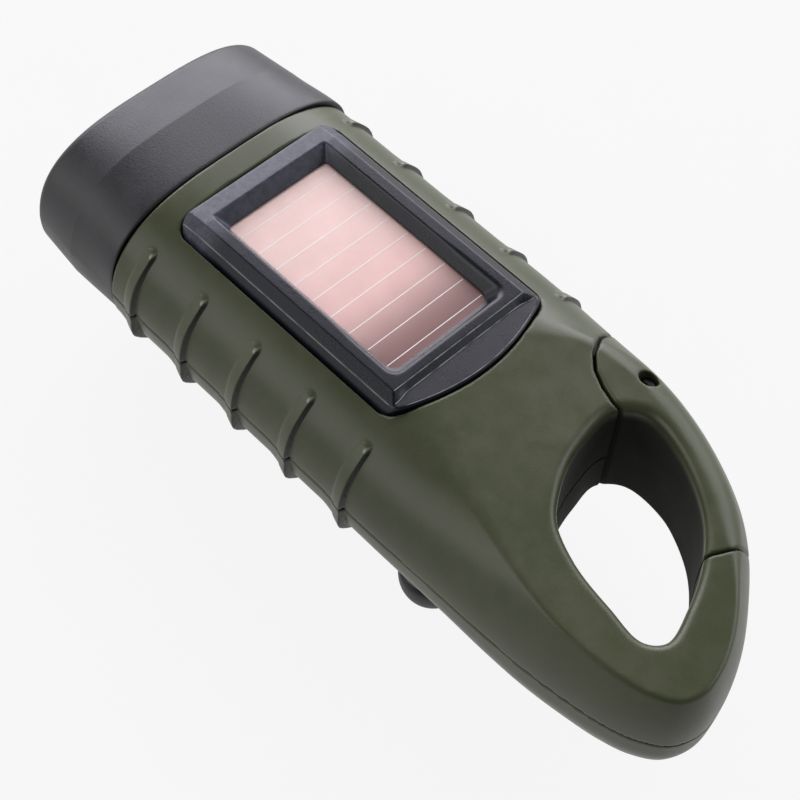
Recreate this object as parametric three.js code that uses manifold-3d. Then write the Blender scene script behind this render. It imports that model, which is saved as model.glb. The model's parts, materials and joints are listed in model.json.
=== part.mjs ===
import * as THREE from 'three';
import { mergeVertices } from 'three/addons/utils/BufferGeometryUtils.js';
import Module from 'manifold-3d';

const wasm = await Module();
wasm.setup();

// A hand crank flashlight with a solar panel and a carabiner tail, in millimetres.
// +X is the beam, +Z is the solar panel side, +Y is the left side.
// While it is drawn, x = 0 and y = 0 lie on the crank axis, and z = 0 is the plane
// where the upper and lower shells meet. The group at the end sets it on the ground.

// Clearances shared by every piece
const fit_gap = 0.3; // between neighbours that are moulded to fit
const seat_gap = 0.1; // under a piece that rests on its seat
const running_gap = 0.08; // round a shaft in its bore
const screw_gap = 0.05; // round a screw in its pilot hole
const overrun = 4; // how far a cutting tool runs past the material
const sides_round = 24; // facets of a visible round piece
const sides_small = 12; // facets of a small hidden round piece

// Body
const body_half_width = 26.2;
const body_top = 15.1;
const body_bottom = 13.2;
const body_front = 37.7; // crank axis to the seam with the head
const tail_length = 77.6; // crank axis to the tip of the hook
const shell_wall = 1.9;
const parting_gap = 0.15; // the fine line between the two shells
const side_power = 3.2; // how square the section is at the side
const crown_power = 2.05; // how square the section is at the top
const crown_flat_share = 0.3; // flat part of the crown, of the half width
const level_shares = [0, 0.25, 0.5, 0.7, 0.85, 0.95, 1];
const outline_steps = 2; // samples between two outline points

// Plan of the tail: shares of tail_length behind the crank axis, and of body_half_width
const tail_outline_shares = [
  [0.16, 1],
  [0.32, 1],
  [0.478, 0.99],
  [0.6, 0.985],
  [0.7, 0.97],
  [0.785, 0.94],
  [0.86, 0.9],
  [0.925, 0.835],
  [0.978, 0.72],
  [1, 0.55],
  [0.988, 0.31],
  [0.953, 0.06],
  [0.895, -0.2],
  [0.826, -0.44],
  [0.75, -0.615],
  [0.618, -0.801],
  [0.478, -0.911],
  [0.32, -0.966],
  [0.16, -1],
];
const hook_hole_shares = [
  [0.474, -0.36],
  [0.478, -0.11],
  [0.506, 0.144],
  [0.561, 0.36],
  [0.647, 0.483],
  [0.753, 0.539],
  [0.833, 0.558],
  [0.864, 0.462],
  [0.845, 0.227],
  [0.798, -0.059],
  [0.728, -0.287],
  [0.615, -0.461],
  [0.52, -0.495],
];

// Hook: its flat top face and its thinner underside
const hook_edge_below = 4.6; // how far the side draws in at hook_edge_height, lower half
const hook_edge_left = 2.6; // the same in the upper half, on the left
const hook_edge_right = 4.2; // and on the gate's side
const hook_edge_turn_start = -10; // from here to the left the one goes over into the other
const hook_edge_turn_end = 14;
const hook_edge_limit = 5.4;
const hook_edge_height = 12;
const hook_edge_power = 2.2;
const hook_underside = 8.8; // below the parting plane at the tip
const hook_top_start = 19.9; // behind the crank axis
const hook_top_tip = 10.1; // height of the top face at the tip
const hook_under_start = 22; // behind the crank axis
const hook_under_ramp = 13;
const hook_under_drop = 9.3; // underside at the foot of the ramp
const hole_edge_round = 1.6;
// Where the wide crown gives way to the hook's small edge, behind the crank axis
const left_blend_start = 16.6;
const left_blend_end = 54;
const upper_left_blend_start = 22;
const upper_left_blend_end = 62;
const right_blend_start = 12.5;
const right_blend_end = 37;

// Grip ribs
const rib_count = 5;
const rib_first = 33;
const rib_pitch = 12.12;
const rib_width = 2.4;
const rib_height = 1.2;
const rib_root = 0.9;
const rib_top_angle = 48; // degrees up the section
const rib_bottom_angle = 52; // degrees down the section
const rib_lead_share = 0.85; // how much of the width is the soft lead on the head side

// Head
const head_length = 21.1;
const head_half_width = 25.8;
const head_top = 14.9;
const head_bottom = 13.6;
const head_wall = 2;
const head_lip = 0.35; // step from the body down to the head
const head_crease = 11; // seam to the crease across the head
const head_front_half_width = 24.7;
const head_front_top = 13.5;
const head_front_bottom = 13.2;
const head_edge_round = 1.2;
const head_power = 2.6;
const spigot_length = 4.2;
const window_rim_side = 4.5; // from the head's front edge in to the window
const window_rim_top = 4.9;
const lens_thickness = 1.4;
const lens_recess = 1.1;
const window_lip = 1.3;
const board_thickness = 1;
const cup_pitch = 13;
const cup_front_radius = 6;
const cup_back_radius = 3;
const reflector_depth = 8.6;
const led_radius = 2.5;
const led_height = 5.4;
const led_flange_radius = 2.9;
const led_flange = 1;

// Solar panel and its bezel
const bezel_front = 32.5;
const bezel_back = 15.3; // at its corners, behind the crank axis
const bezel_bulge = 2.7; // how far the rear edge arches out
const bezel_half_width = 16.4;
const bezel_corner = 2.6;
const bezel_corner_lean = 0.65; // how far a rear corner leans out where the arch begins
const bezel_top = 15.6;
const bezel_seat = 11.4;
const bezel_edge = 0.7;
const bezel_step_line = 13.1; // behind the crank axis
const bezel_step_run = 1.5;
const bezel_step_drop = 0.8;
const bezel_rear_drop = 1.5;
const panel_face = 13.1;
const panel_thickness = 1;
const panel_front = 28;
const panel_back = 11.6; // behind the crank axis
const panel_half_width = 11.3;
const opening_front = 26.8;
const opening_back = 10.4; // behind the crank axis
const opening_half_width = 10.1;
const opening_flare_front = 2.3;
const opening_flare_side = 1.7;
const opening_flare_back = 0.9;

// Carabiner gate
const pivot_back = 36.2; // behind the crank axis
const pivot_inset = 8.2; // in from the right side of the body
const gate_hinge_gap = 0.6;
const gate_nose_gap = 0.45;
const gate_swing = 25; // degrees
const gate_overswing = 1.5; // degrees of room past the end of the swing
const gate_pin_radius = 1.2;
const gate_pin_head_radius = 1.9;
const gate_pin_head = 1.4;
const gate_pin_recess = 2.4;
const gate_pin_foot = 6.4;
const gate_pin_slot = 0.95; // width of the screwdriver slot
const tongue_bottom = 2.5;
const tongue_top = 6.1;
const tongue_hub_radius = 3.2;
const tongue_reach = 7.6;
const tongue_reach_angle = 135; // degrees
const spring_wire = 0.5;
const spring_radius = 2.5;
const spring_turns = 3;
const spring_pitch = 0.95;
const spring_leg = 9.6;
const spring_leg_angle = 150; // degrees, where the leg's room begins
const spring_leg_play = 8; // degrees of room on each side of the leg
// Seam of the gate: shares of the reach from the pivot to the nose, backwards and to the left
const gate_reach = 30.4;
const gate_seam_shares = [
  [-0.45, -0.42],
  [-0.375, -0.2],
  [-0.335, 0.01],
  [-0.28, 0.12],
  [-0.205, 0.19],
  [-0.11, 0.235],
  [-0.015, 0.26],
  [0.035, 0.25],
  [0.12, 0.42],
  [0.55, 0.88],
  [0.72, 0.8],
  [0.832, 0.561],
  [0.877, 0.486],
  [0.916, 0.408],
  [0.948, 0.327],
  [0.981, 0.209],
  [0.72, -0.12],
  [0.2, -0.5],
];
const gate_seam_nose_share = 0.5; // points past this reach take the nose gap

// Crank
const crank_length = 30; // crank axis to knob axis
const crank_turn = 29.1; // degrees from straight back, to the left
const arm_gap = 1; // below the body
const arm_thickness = 4;
const arm_hub_radius = 6.4;
const arm_knob_radius = 5.6;
const arm_edge = 0.7;
const arm_groove = 1;
const arm_groove_rim = 2.3;
const shaft_radius = 2.3;
const shaft_drive = 3.1; // square end in the arm
const shaft_key = 4.8; // square part in the gear
const shaft_collar_radius = 3.8;
const shaft_collar = 0.9;
const shaft_spigot_radius = 1.5;
const bush_radius = 3.9;
const bush_flange_radius = 4.8;
const bush_flange = 0.6;
const bush_proud = 0.35; // below the body
const crank_screw_radius = 1;
const crank_screw_head_radius = 2.2;
const crank_screw_head = 1.3;
const knob_radius = 5.7;
const knob_height = 6.6;
const knob_shoulder = 1.6; // straight side before the dome
const knob_top_round = 0.6;
const knob_face_radius = 3.2; // flat end of the dome
const knob_steps = 5;
const knob_pin_radius = 1.4;
const knob_pin_head_radius = 2.4;
const knob_pin_head = 1.2;
const knob_pin_face_radius = 1.7; // flat end of the pin's head
const knob_pin_chamfer = 0.4;
const knob_pin_sunk = 0.6; // below the knob's end

// Gear train: each wheel turns the pinion of the next stage
const gear_module = 0.6;
const pinion_teeth = 10;
const crank_teeth = 40;
const idler_1_teeth = 34;
const idler_2_teeth = 30;
const tooth_height_share = 0.85; // above the pitch line, of the module
const tooth_root_share = 1.2; // below the pitch line, of the module
const tooth_pitch_share = 0.42; // thickness at the pitch line, of the tooth pitch
const tooth_tip_share = 0.2;
const tooth_foot_share = 0.58;
const floor_top = 11.3; // inside of the lower shell, below the parting plane
const cavity_top = 10.2;
const cavity_back = 24.5;
const cavity_front = 36;
const cavity_floor_shares = [1, 0.92, 0.75, 0.5]; // heights where its sides bend
const cavity_ceiling_shares = [0, 0.5, 0.8, 1];
const crank_gear_level = -10.4;
const gear_layer = 2;
const wheel_thickness = 1.4;
const layer_gap = 0.4;
const idler_1_bearing = 30; // degrees, seen from the crank axis
const idler_2_bearing = -40;
const rotor_bearing = 224.5;
const axle_radius = 0.9;
const axle_seat = 1;
const rotor_shaft_radius = 0.8;
const plate_thickness = 1.2;
const plate_front = 35;
const plate_back = 9.5;
const plate_half_width = 14.5;
const plate_corner = 3;
const plate_screw_radius = 0.9;
const plate_screw_head_radius = 1.8;
const plate_screw_head = 1;
const plate_screw_length = 6;
const plate_boss_radius = 2;
const plate_boss_places_share = [
  [0.93, 0.9],
  [0.93, -0.9],
  [-0.2, 0.95],
  [-0.2, -0.95],
];

// Generator
const can_radius = 9.5;
const can_height = 8.2;
const can_wall = 0.8;
const coil_inner_radius = 6.1;
const magnet_radius = 5.4;
const magnet_height = 6;

// Battery, board and switch
const battery_radius = 7.6;
const battery_length = 18;
const battery_back = 16.4;
const battery_height = 2.3;
const battery_cells = 3;
const cell_groove = 0.4;
const cell_groove_slope = 0.1;
const cradle_front = 13.4; // behind the crank axis, clear of the crank gear
const cradle_back = 23.6;
const cradle_half_width = 6.5;
const main_board_height = 7.4;
const main_board_front = 34;
const main_board_back = 5;
const main_board_half_width = 13;
const board_post_radius = 1.6;
const board_post_inset = 2.6; // from the board's edges
const chip_length = 7;
const chip_width = 5;
const chip_height = 1.1;
const switch_forward = 30.4;
const button_radius = 4.2;
const button_flange_radius = 5.1;
const button_flange = 0.7;
const button_proud = 0.5;
const button_face_radius = 3.6; // flat end of the button
const button_face_drop = 0.17; // its crown
const button_travel = 0.5;
const plunger_radius = 1.5;
const plunger_height = 0.9;
const tact_width = 6;
const tact_height = 2.1;
const switch_board_length = 6.8;
const switch_board_half_width = 8.4;
const switch_board_thickness = 0.8;
const switch_post_radius = 1.4;
const switch_post_side = 6.9;

// Housing screws: two by the head, and three at shares of tail_length behind the crank
// axis and of body_half_width
const front_screw_setback = 6.7; // behind the seam with the head
const front_screw_side_share = 0.7;
const screw_place_shares = [
  [0.375, 0.62],
  [0.245, -0.7],
  [0.932, 0.44],
];
const screw_head_seat_shares = [0.68, 0.68, 0.62, 0.68, 0.42]; // of body_bottom
const screw_radius = 1.2;
const screw_head_radius = 2.4;
const screw_head = 1.5;
const screw_bite = 6; // length in the upper shell
const screw_boss_radius = 3.4;
const screw_slot_share = 0.16; // half width of a slot in a screw's head, of its radius
const screw_slot_reach_share = 0.62; // half length of the slot

// Values that follow from the sizes above
const head_front = body_front + head_length;
const window_half_width = head_front_half_width - window_rim_side;
const window_half_height = head_front_top - window_rim_top;
const knob_top = body_bottom + arm_gap + arm_thickness + fit_gap;
const standing_height = knob_top + knob_height;
const middle_x = (head_front - tail_length) / 2;
const degree = Math.PI / 180;

const finish = {
  green: { color: 0x50543f, roughness: 0.55, metalness: 0 },
  black: { color: 0x2b2b30, roughness: 0.6, metalness: 0 },
  bezel: { color: 0x2a2d36, roughness: 0.35, metalness: 0 },
  panel: { color: 0xd8a9a0, roughness: 0.15, metalness: 0 },
  foam: { color: 0x1d1d1d, roughness: 0.95, metalness: 0 },
  lens: { color: 0xdfe8ee, roughness: 0.05, metalness: 0 },
  chrome: { color: 0xc8ccd0, roughness: 0.12, metalness: 1 },
  steel: { color: 0x9a9da0, roughness: 0.35, metalness: 1 },
  board: { color: 0x1f5a34, roughness: 0.5, metalness: 0 },
  nylon: { color: 0xe8e4d8, roughness: 0.5, metalness: 0 },
  copper: { color: 0xa85a32, roughness: 0.4, metalness: 1 },
  magnet: { color: 0x35363a, roughness: 0.5, metalness: 0.4 },
  cell: { color: 0x3d6f55, roughness: 0.4, metalness: 0 },
};

// Solids

function solid(geometry) {
  const bare = geometry.index ? geometry.clone() : geometry;
  bare.deleteAttribute('normal');
  bare.deleteAttribute('uv');
  const merged = mergeVertices(bare, seat_gap / 1000);
  return new wasm.Manifold(
    new wasm.Mesh({
      numProp: 3,
      vertProperties: merged.attributes.position.array,
      triVerts: new Uint32Array(merged.index.array),
    }),
  );
}

function geometryOf(made) {
  const mesh = made.getMesh();
  const geometry = new THREE.BufferGeometry();
  geometry.setAttribute('position', new THREE.BufferAttribute(mesh.vertProperties, 3));
  geometry.setIndex(new THREE.BufferAttribute(mesh.triVerts, 1));
  const flat = geometry.toNonIndexed();
  flat.computeVertexNormals();
  return flat;
}

const group = new THREE.Group();
const frame = new THREE.Group();
frame.position.set(-middle_x, 0, standing_height);
group.add(frame);

function place(name, made, look, parent = frame) {
  const mesh = new THREE.Mesh(geometryOf(made), new THREE.MeshStandardMaterial(finish[look]));
  mesh.name = name;
  parent.add(mesh);
  return mesh;
}

// A closed body through rings of points that run the same way round.
// Rings climb along z, or along x where along_x is true.
function loft(rings, along_x = false) {
  const count = rings[0].length;
  const positions = rings.flat().flat();
  const index = [];
  for (let i = 0; i + 1 < rings.length; i += 1) {
    for (let j = 0; j < count; j += 1) {
      const a = i * count + j;
      const b = i * count + ((j + 1) % count);
      index.push(a, b, b + count, a, b + count, a + count);
    }
  }
  const flat = (p) => (along_x ? new THREE.Vector2(p[1], p[2]) : new THREE.Vector2(p[0], p[1]));
  const top = (rings.length - 1) * count;
  for (const [a, b, c] of THREE.ShapeUtils.triangulateShape(rings[0].map(flat), [])) {
    index.push(c, b, a);
  }
  for (const [a, b, c] of THREE.ShapeUtils.triangulateShape(rings.at(-1).map(flat), [])) {
    index.push(top + a, top + b, top + c);
  }
  const geometry = new THREE.BufferGeometry();
  geometry.setAttribute('position', new THREE.Float32BufferAttribute(positions, 3));
  geometry.setIndex(index);
  return solid(geometry);
}

// A prism on a closed outline of [x, y] points, from one height to another
function prism(points, bottom, top) {
  const shape = new THREE.Shape(points.map(([x, y]) => new THREE.Vector2(x, y)));
  return extrude(shape, bottom, top);
}

// A shape raised between two heights, its edges rounded by bevel where one is given
function extrude(shape, bottom, top, bevel = 0, curveSegments = sides_small) {
  const geometry = new THREE.ExtrudeGeometry(shape, {
    depth: top - bottom - bevel - bevel,
    bevelEnabled: bevel > 0,
    bevelThickness: bevel,
    bevelSize: bevel,
    bevelOffset: -bevel,
    bevelSegments: 2,
    curveSegments,
  });
  geometry.translate(0, 0, bottom + bevel);
  return solid(geometry);
}

// A profile drawn in the side view, [x, z], pulled out to both sides
function sidePrism(points, half_width) {
  const shape = new THREE.Shape(points.map(([x, z]) => new THREE.Vector2(x, z)));
  const depth = half_width + half_width;
  const geometry = new THREE.ExtrudeGeometry(shape, { depth, bevelEnabled: false });
  geometry.rotateX(Math.PI / 2);
  geometry.translate(0, half_width, 0);
  return solid(geometry);
}

function box(low, high) {
  const size = high.map((value, i) => value - low[i]);
  const geometry = new THREE.BoxGeometry(...size);
  geometry.translate(...high.map((value, i) => (value + low[i]) / 2));
  return solid(geometry);
}

// An upright round bar between two heights
function bar(radius, bottom, top, x = 0, y = 0, sides = sides_small) {
  const geometry = new THREE.CylinderGeometry(radius, radius, Math.abs(top - bottom), sides);
  geometry.rotateX(Math.PI / 2);
  geometry.translate(x, y, (top + bottom) / 2);
  return solid(geometry);
}

// A turned piece: its profile is [radius, height] and starts and ends on the axis
function turned(profile, x = 0, y = 0, sides = sides_round) {
  const points = profile.map(([radius, height]) => new THREE.Vector2(radius, height));
  const geometry = new THREE.LatheGeometry(points, sides);
  geometry.rotateX(Math.PI / 2);
  geometry.translate(x, y, 0);
  return solid(geometry);
}

function mixed(a, b, share) {
  return a + (b - a) * share;
}

function smooth(value, start, end) {
  const share = Math.min(1, Math.max(0, (value - start) / (end - start)));
  return share * share * (1 + 2 * (1 - share));
}

// Body surface

// Half width of the body's section at a share of its height
function bodyHalfWidth(level) {
  const full = body_half_width * (1 - level ** crown_power) ** (1 / side_power);
  return Math.max(full, body_half_width * crown_flat_share);
}

// Smooth open line through outline points, each with its outward normal
function outlineSamples() {
  const ends = [[-body_front / tail_length, 1], [0, 1], [0, -1], [-body_front / tail_length, -1]];
  const shares = [ends[0], ends[1], ...tail_outline_shares, ends[2], ends[3]];
  const points = shares.map(
    ([back, side]) => new THREE.Vector3(-back * tail_length, side * body_half_width, 0),
  );
  const curve = new THREE.CatmullRomCurve3(points, false, 'centripetal');
  const steps = (points.length - 1) * outline_steps;
  const samples = [];
  for (let i = 0; i <= steps; i += 1) {
    const point = curve.getPoint(i / steps);
    const tangent = curve.getTangent(i / steps);
    samples.push({ x: point.x, y: point.y, nx: tangent.y, ny: -tangent.x });
  }
  return samples;
}

// How far a place on the outline has gone over from body to hook, 0 to 1
function hookShare(sample, upper) {
  if (sample.y < 0) {
    return smooth(-sample.x, right_blend_start, right_blend_end);
  }
  return upper
    ? smooth(-sample.x, upper_left_blend_start, upper_left_blend_end)
    : smooth(-sample.x, left_blend_start, left_blend_end);
}

// How far the hook's side draws in at hook_edge_height
function hookEdge(sample, upper) {
  const turn = smooth(sample.y, hook_edge_turn_start, hook_edge_turn_end);
  return upper ? mixed(hook_edge_right, hook_edge_left, turn) : hook_edge_below;
}

function shellRing(samples, level, height, full_height) {
  const body_inset = body_half_width - bodyHalfWidth(level);
  const rise = (level * full_height) / hook_edge_height;
  const upper = height > 0;
  return samples.map((sample) => {
    const edge = hookEdge(sample, upper) * rise ** hook_edge_power;
    const hook_inset = Math.min(hook_edge_limit, edge);
    const inset = mixed(body_inset, hook_inset, hookShare(sample, upper));
    return [sample.x - sample.nx * inset, sample.y - sample.ny * inset, height];
  });
}

// Height of the hook's slanted top face at a place behind the crank axis
function hookTop(x) {
  const share = (-x - hook_top_start) / (tail_length - hook_top_start);
  return mixed(body_top, hook_top_tip, share);
}

function hookTopCut() {
  const end = tail_length + overrun;
  return sidePrism(
    [
      [-end, hookTop(-end)],
      [-hook_top_start, body_top],
      [-hook_top_start, body_top + overrun],
      [-end, body_top + overrun],
    ],
    body_half_width + overrun,
  );
}

function hookUnderCut() {
  const end = tail_length + overrun;
  const foot = hook_under_start + hook_under_ramp;
  return sidePrism(
    [
      [-end, -body_bottom - overrun],
      [-hook_under_start, -body_bottom - overrun],
      [-hook_under_start, -body_bottom],
      [-foot, -hook_under_drop],
      [-end, -hook_underside],
    ],
    body_half_width + overrun,
  );
}

// Hook opening with rounded edges above and below
function hookHole() {
  const points = hook_hole_shares.map(
    ([back, side]) => new THREE.Vector3(-back * tail_length, side * body_half_width, 0),
  );
  const curve = new THREE.CatmullRomCurve3(points, true, 'centripetal');
  const steps = hook_hole_shares.length * outline_steps;
  const samples = [];
  for (let i = 0; i < steps; i += 1) {
    const point = curve.getPoint(i / steps);
    const tangent = curve.getTangent(i / steps);
    samples.push({ x: point.x, y: point.y, nx: tangent.y, ny: -tangent.x });
  }
  const ring = (spread, height) =>
    samples.map((sample) => {
      const x = sample.x + sample.nx * spread;
      return [x, sample.y + sample.ny * spread, height(x)];
    });
  const under = () => -hook_underside;
  const edge_shares = [0, 0.3, 1];
  const rings = [ring(hole_edge_round, () => -body_bottom)];
  for (const share of edge_shares) {
    const spread = hole_edge_round * (1 - Math.sqrt(1 - (1 - share) ** 2));
    rings.push(ring(spread, () => under() + hole_edge_round * share));
  }
  for (const share of [...edge_shares].reverse()) {
    const spread = hole_edge_round * (1 - Math.sqrt(1 - (1 - share) ** 2));
    rings.push(ring(spread, (x) => hookTop(x) - hole_edge_round * share));
  }
  rings.push(ring(hole_edge_round, () => body_top + overrun));
  return loft(rings);
}

// One grip rib: a crescent that follows the section, steep towards the tail
function rib(x, side) {
  const station_shares = [
    [-0.5, 0],
    [-0.42, 0.8],
    [-0.2, 1],
    [0.1, 0.85],
    [rib_lead_share, 0],
  ];
  const outer_shares = [0, 0.06, 0.16, 0.38, 0.62, 0.84, 0.94, 1];
  const inner_shares = [1, 0.5, 0];
  const at = (share, raise) => {
    const angle = mixed(rib_top_angle, -rib_bottom_angle, share) * degree;
    const depth = angle > 0 ? body_top : body_bottom;
    const up = Math.sign(Math.sin(angle)) * Math.abs(Math.sin(angle)) ** (2 / crown_power);
    const out = Math.cos(angle) ** (2 / side_power);
    const y = body_half_width * out + raise * Math.cos(angle);
    return [y * side, depth * up + raise * Math.sin(angle)];
  };
  const rings = station_shares.map(([along, height]) => {
    const outer = outer_shares.map((share) => {
      const end = Math.min(share, 1 - share) / outer_shares[2];
      const raise = rib_height * height * Math.min(1, Math.sqrt(end));
      return at(share, height > 0 && end > 0 ? raise : -rib_root / 2);
    });
    const inner = inner_shares.map((share) => at(share, -rib_root - rib_root));
    const ring = side > 0 ? [...outer, ...inner].reverse() : [...outer, ...inner];
    return ring.map(([y, z]) => [x + along * rib_width, y, z]);
  });
  return loft(rings, true);
}

// The whole green body as one block: crown, underside, ribs, hook and its opening
function bodyBlock() {
  const samples = outlineSamples();
  const up = level_shares.map((level) => shellRing(samples, level, level * body_top, body_top));
  const down = level_shares
    .map((level) => shellRing(samples, level, -level * body_bottom, body_bottom))
    .reverse();
  let block = loft([...down, ...up.slice(1)]);
  for (let i = 0; i < rib_count; i += 1) {
    for (const side of [1, -1]) {
      block = block.add(rib(rib_first - i * rib_pitch, side));
    }
  }
  return block.subtract(hookTopCut()).subtract(hookUnderCut()).subtract(hookHole());
}

// Inside of the body: narrower by the wall at every height
function bodyCavity() {
  const half_width = (height, full) => {
    const reach = Math.abs(height) + (shell_wall * Math.abs(height)) / full;
    return bodyHalfWidth(reach / full) - shell_wall;
  };
  const ring = (height, full) => {
    const y = half_width(height, full);
    return [
      [-cavity_back, -y, height],
      [cavity_front, -y, height],
      [cavity_front, y, height],
      [-cavity_back, y, height],
    ];
  };
  const rings = [
    ...cavity_floor_shares.map((share) => ring(-floor_top * share, body_bottom)),
    ...cavity_ceiling_shares.map((share) => ring(cavity_top * share, body_top)),
  ];
  return loft(rings);
}

// Collar that plugs the body into the head
function spigot() {
  const collar = headSection(body_front - overrun, head_wall + head_lip + fit_gap);
  const front = headSection(body_front + spigot_length, head_wall + head_lip + fit_gap);
  const bore = head_wall + head_lip + shell_wall + fit_gap;
  const inside = loft(
    [headSection(cavity_front, bore), headSection(head_front, bore)],
    true,
  );
  return loft([collar, front], true).subtract(inside);
}

// Gate of the carabiner

const pivot_x = -pivot_back;
const pivot_y = pivot_inset - body_half_width;

// Outline of the gate's cut, drawn in by a gap that may differ at the nose
function gateOutline(hinge_gap, nose_gap) {
  const points = gate_seam_shares.map(([back, left]) => [
    pivot_x - back * gate_reach,
    pivot_y + left * gate_reach,
  ]);
  const count = points.length;
  return points.map(([x, y], i) => {
    const [px, py] = points[(i + count - 1) % count];
    const [qx, qy] = points[(i + 1) % count];
    const length = Math.hypot(qx - px, qy - py);
    const gap = gate_seam_shares[i][0] > gate_seam_nose_share ? nose_gap : hinge_gap;
    const nx = (qy - py) / length;
    const ny = -(qx - px) / length;
    return [x - nx * gap, y - ny * gap];
  });
}

// A slice of a disc round the gate's pivot, between two angles in degrees
function sector(radius, from, to) {
  const points = [[pivot_x, pivot_y]];
  for (let i = 0; i <= sides_small; i += 1) {
    const angle = mixed(from, to, i / sides_small) * degree;
    points.push([pivot_x + radius * Math.cos(angle), pivot_y + radius * Math.sin(angle)]);
  }
  return points;
}

// Tongue of the body that carries the gate's pin, grown by a gap for the slot
function tongue(gap) {
  const low = tongue_bottom - gap;
  const high = tongue_top + gap;
  const hub = bar(tongue_hub_radius + gap, low, high, pivot_x, pivot_y, sides_round);
  return hub.add(prism(sector(tongue_reach + gap, 0, tongue_reach_angle), low, high));
}

// Root of the tongue, which joins it to the body in front of the gate, grown by a gap
function tongueRoot(gap) {
  const reach = tongue_reach + gate_hinge_gap + overrun;
  return box(
    [pivot_x, pivot_y - tongue_hub_radius / 2 - gap, tongue_bottom - gap],
    [pivot_x + reach, pivot_y + tongue_reach + gap, tongue_top + gap],
  );
}

// Slot in the gate: the tongue at every angle that the gate can take
function gateSlot() {
  const steps = 4;
  let slot = tongue(fit_gap);
  for (let i = 1; i <= steps; i += 1) {
    const angle = ((gate_swing + gate_overswing) * degree * i) / steps;
    const turn = new THREE.Matrix4()
      .makeTranslation(pivot_x, pivot_y, 0)
      .multiply(new THREE.Matrix4().makeRotationZ(angle))
      .multiply(new THREE.Matrix4().makeTranslation(-pivot_x, -pivot_y, 0));
    slot = slot.add(tongue(fit_gap).transform(turn.elements));
  }
  return slot.add(tongueRoot(fit_gap));
}

const spring_bottom = tongue_bottom - fit_gap - spring_turns * spring_pitch - spring_wire;
const pin_top = hookTop(pivot_x) - gate_pin_recess;

function pinBore(gap) {
  const head = bar(
    gate_pin_head_radius + gap,
    pin_top - gate_pin_head - seat_gap,
    body_top + overrun,
    pivot_x,
    pivot_y,
    sides_round,
  );
  const shank = bar(
    gate_pin_radius + gap,
    -gate_pin_foot - seat_gap,
    pin_top,
    pivot_x,
    pivot_y,
    sides_round,
  );
  return head.add(shank);
}

// Round pocket for the coil, and a fan that leaves the spring's leg free as the gate swings
function springPocket() {
  const radius = spring_radius + spring_wire + fit_gap;
  const top = tongue_bottom;
  const coil = bar(radius, spring_bottom - fit_gap, top, pivot_x, pivot_y, sides_round);
  const leg_low = spring_bottom - fit_gap;
  const leg_high = spring_bottom + spring_wire + spring_wire + fit_gap;
  const reach = spring_leg + fit_gap + fit_gap;
  const free = spring_leg_play + spring_leg_play;
  return coil.add(prism(sector(reach, spring_leg_angle, spring_leg_angle + free), leg_low, leg_high));
}

function gate(block) {
  const outline = gateOutline(gate_hinge_gap, gate_nose_gap);
  const blank = block.intersect(prism(outline, -body_bottom - overrun, body_top + overrun));
  return blank
    .subtract(gateSlot())
    .subtract(springPocket())
    .subtract(pinBore(running_gap));
}

function gatePin() {
  const head = bar(
    gate_pin_head_radius,
    pin_top - gate_pin_head,
    pin_top,
    pivot_x,
    pivot_y,
    sides_round,
  );
  const shank = bar(gate_pin_radius, -gate_pin_foot, pin_top, pivot_x, pivot_y, sides_round);
  const slot_width = gate_pin_slot / 2;
  const slot = box(
    [pivot_x - gate_pin_head_radius, pivot_y - slot_width, pin_top - gate_pin_head / 2],
    [pivot_x + gate_pin_head_radius, pivot_y + slot_width, pin_top + overrun],
  );
  return head.add(shank).subtract(slot);
}

// Torsion spring round the gate's pin: a coil with one leg along the gate
function gateSpring() {
  const steps = 10;
  const sides = 6;
  const total = spring_turns * steps;
  const start = (spring_leg_angle + spring_leg_play) * degree;
  const route = [];
  for (let i = 0; i <= total; i += 1) {
    const angle = start + (i / steps) * Math.PI * 2;
    const height = spring_bottom + spring_wire + (i / steps) * spring_pitch;
    route.push([Math.cos(angle) * spring_radius, Math.sin(angle) * spring_radius, height]);
  }
  const leg = [Math.cos(start) * spring_leg, Math.sin(start) * spring_leg, route[0][2]];
  route.unshift(leg);
  const centres = route.map(([x, y, z]) => new THREE.Vector3(pivot_x + x, pivot_y + y, z));
  const up = new THREE.Vector3(0, 0, 1);
  const rings = centres.map((centre, i) => {
    const before = centres[Math.max(0, i - 1)];
    const after = centres[Math.min(centres.length - 1, i + 1)];
    const along = after.clone().sub(before).normalize();
    const side = new THREE.Vector3().crossVectors(along, up).normalize();
    const rise = new THREE.Vector3().crossVectors(side, along);
    const ring = [];
    for (let j = 0; j < sides; j += 1) {
      const angle = (j / sides) * Math.PI * 2;
      const point = centre.clone();
      point.addScaledVector(side, Math.cos(angle) * (spring_wire / 2));
      point.addScaledVector(rise, Math.sin(angle) * (spring_wire / 2));
      ring.push(point.toArray());
    }
    return ring;
  });
  return tube(rings);
}

// A closed tube through round rings, with a fan on each end
function tube(rings) {
  const count = rings[0].length;
  const index = [];
  for (let i = 0; i + 1 < rings.length; i += 1) {
    for (let j = 0; j < count; j += 1) {
      const a = i * count + j;
      const b = i * count + ((j + 1) % count);
      index.push(a, b + count, b, a, a + count, b + count);
    }
  }
  const last = (rings.length - 1) * count;
  for (let j = 1; j + 1 < count; j += 1) {
    index.push(0, j, j + 1);
    index.push(last, last + j + 1, last + j);
  }
  const geometry = new THREE.BufferGeometry();
  geometry.setAttribute('position', new THREE.Float32BufferAttribute(rings.flat().flat(), 3));
  geometry.setIndex(index);
  const made = solid(geometry);
  if (made.volume() > 0) {
    return made;
  }
  geometry.setIndex(index.map((_, i) => index[i - (i % 3) + [0, 2, 1][i % 3]]));
  return solid(geometry);
}

// Housing shells

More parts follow.
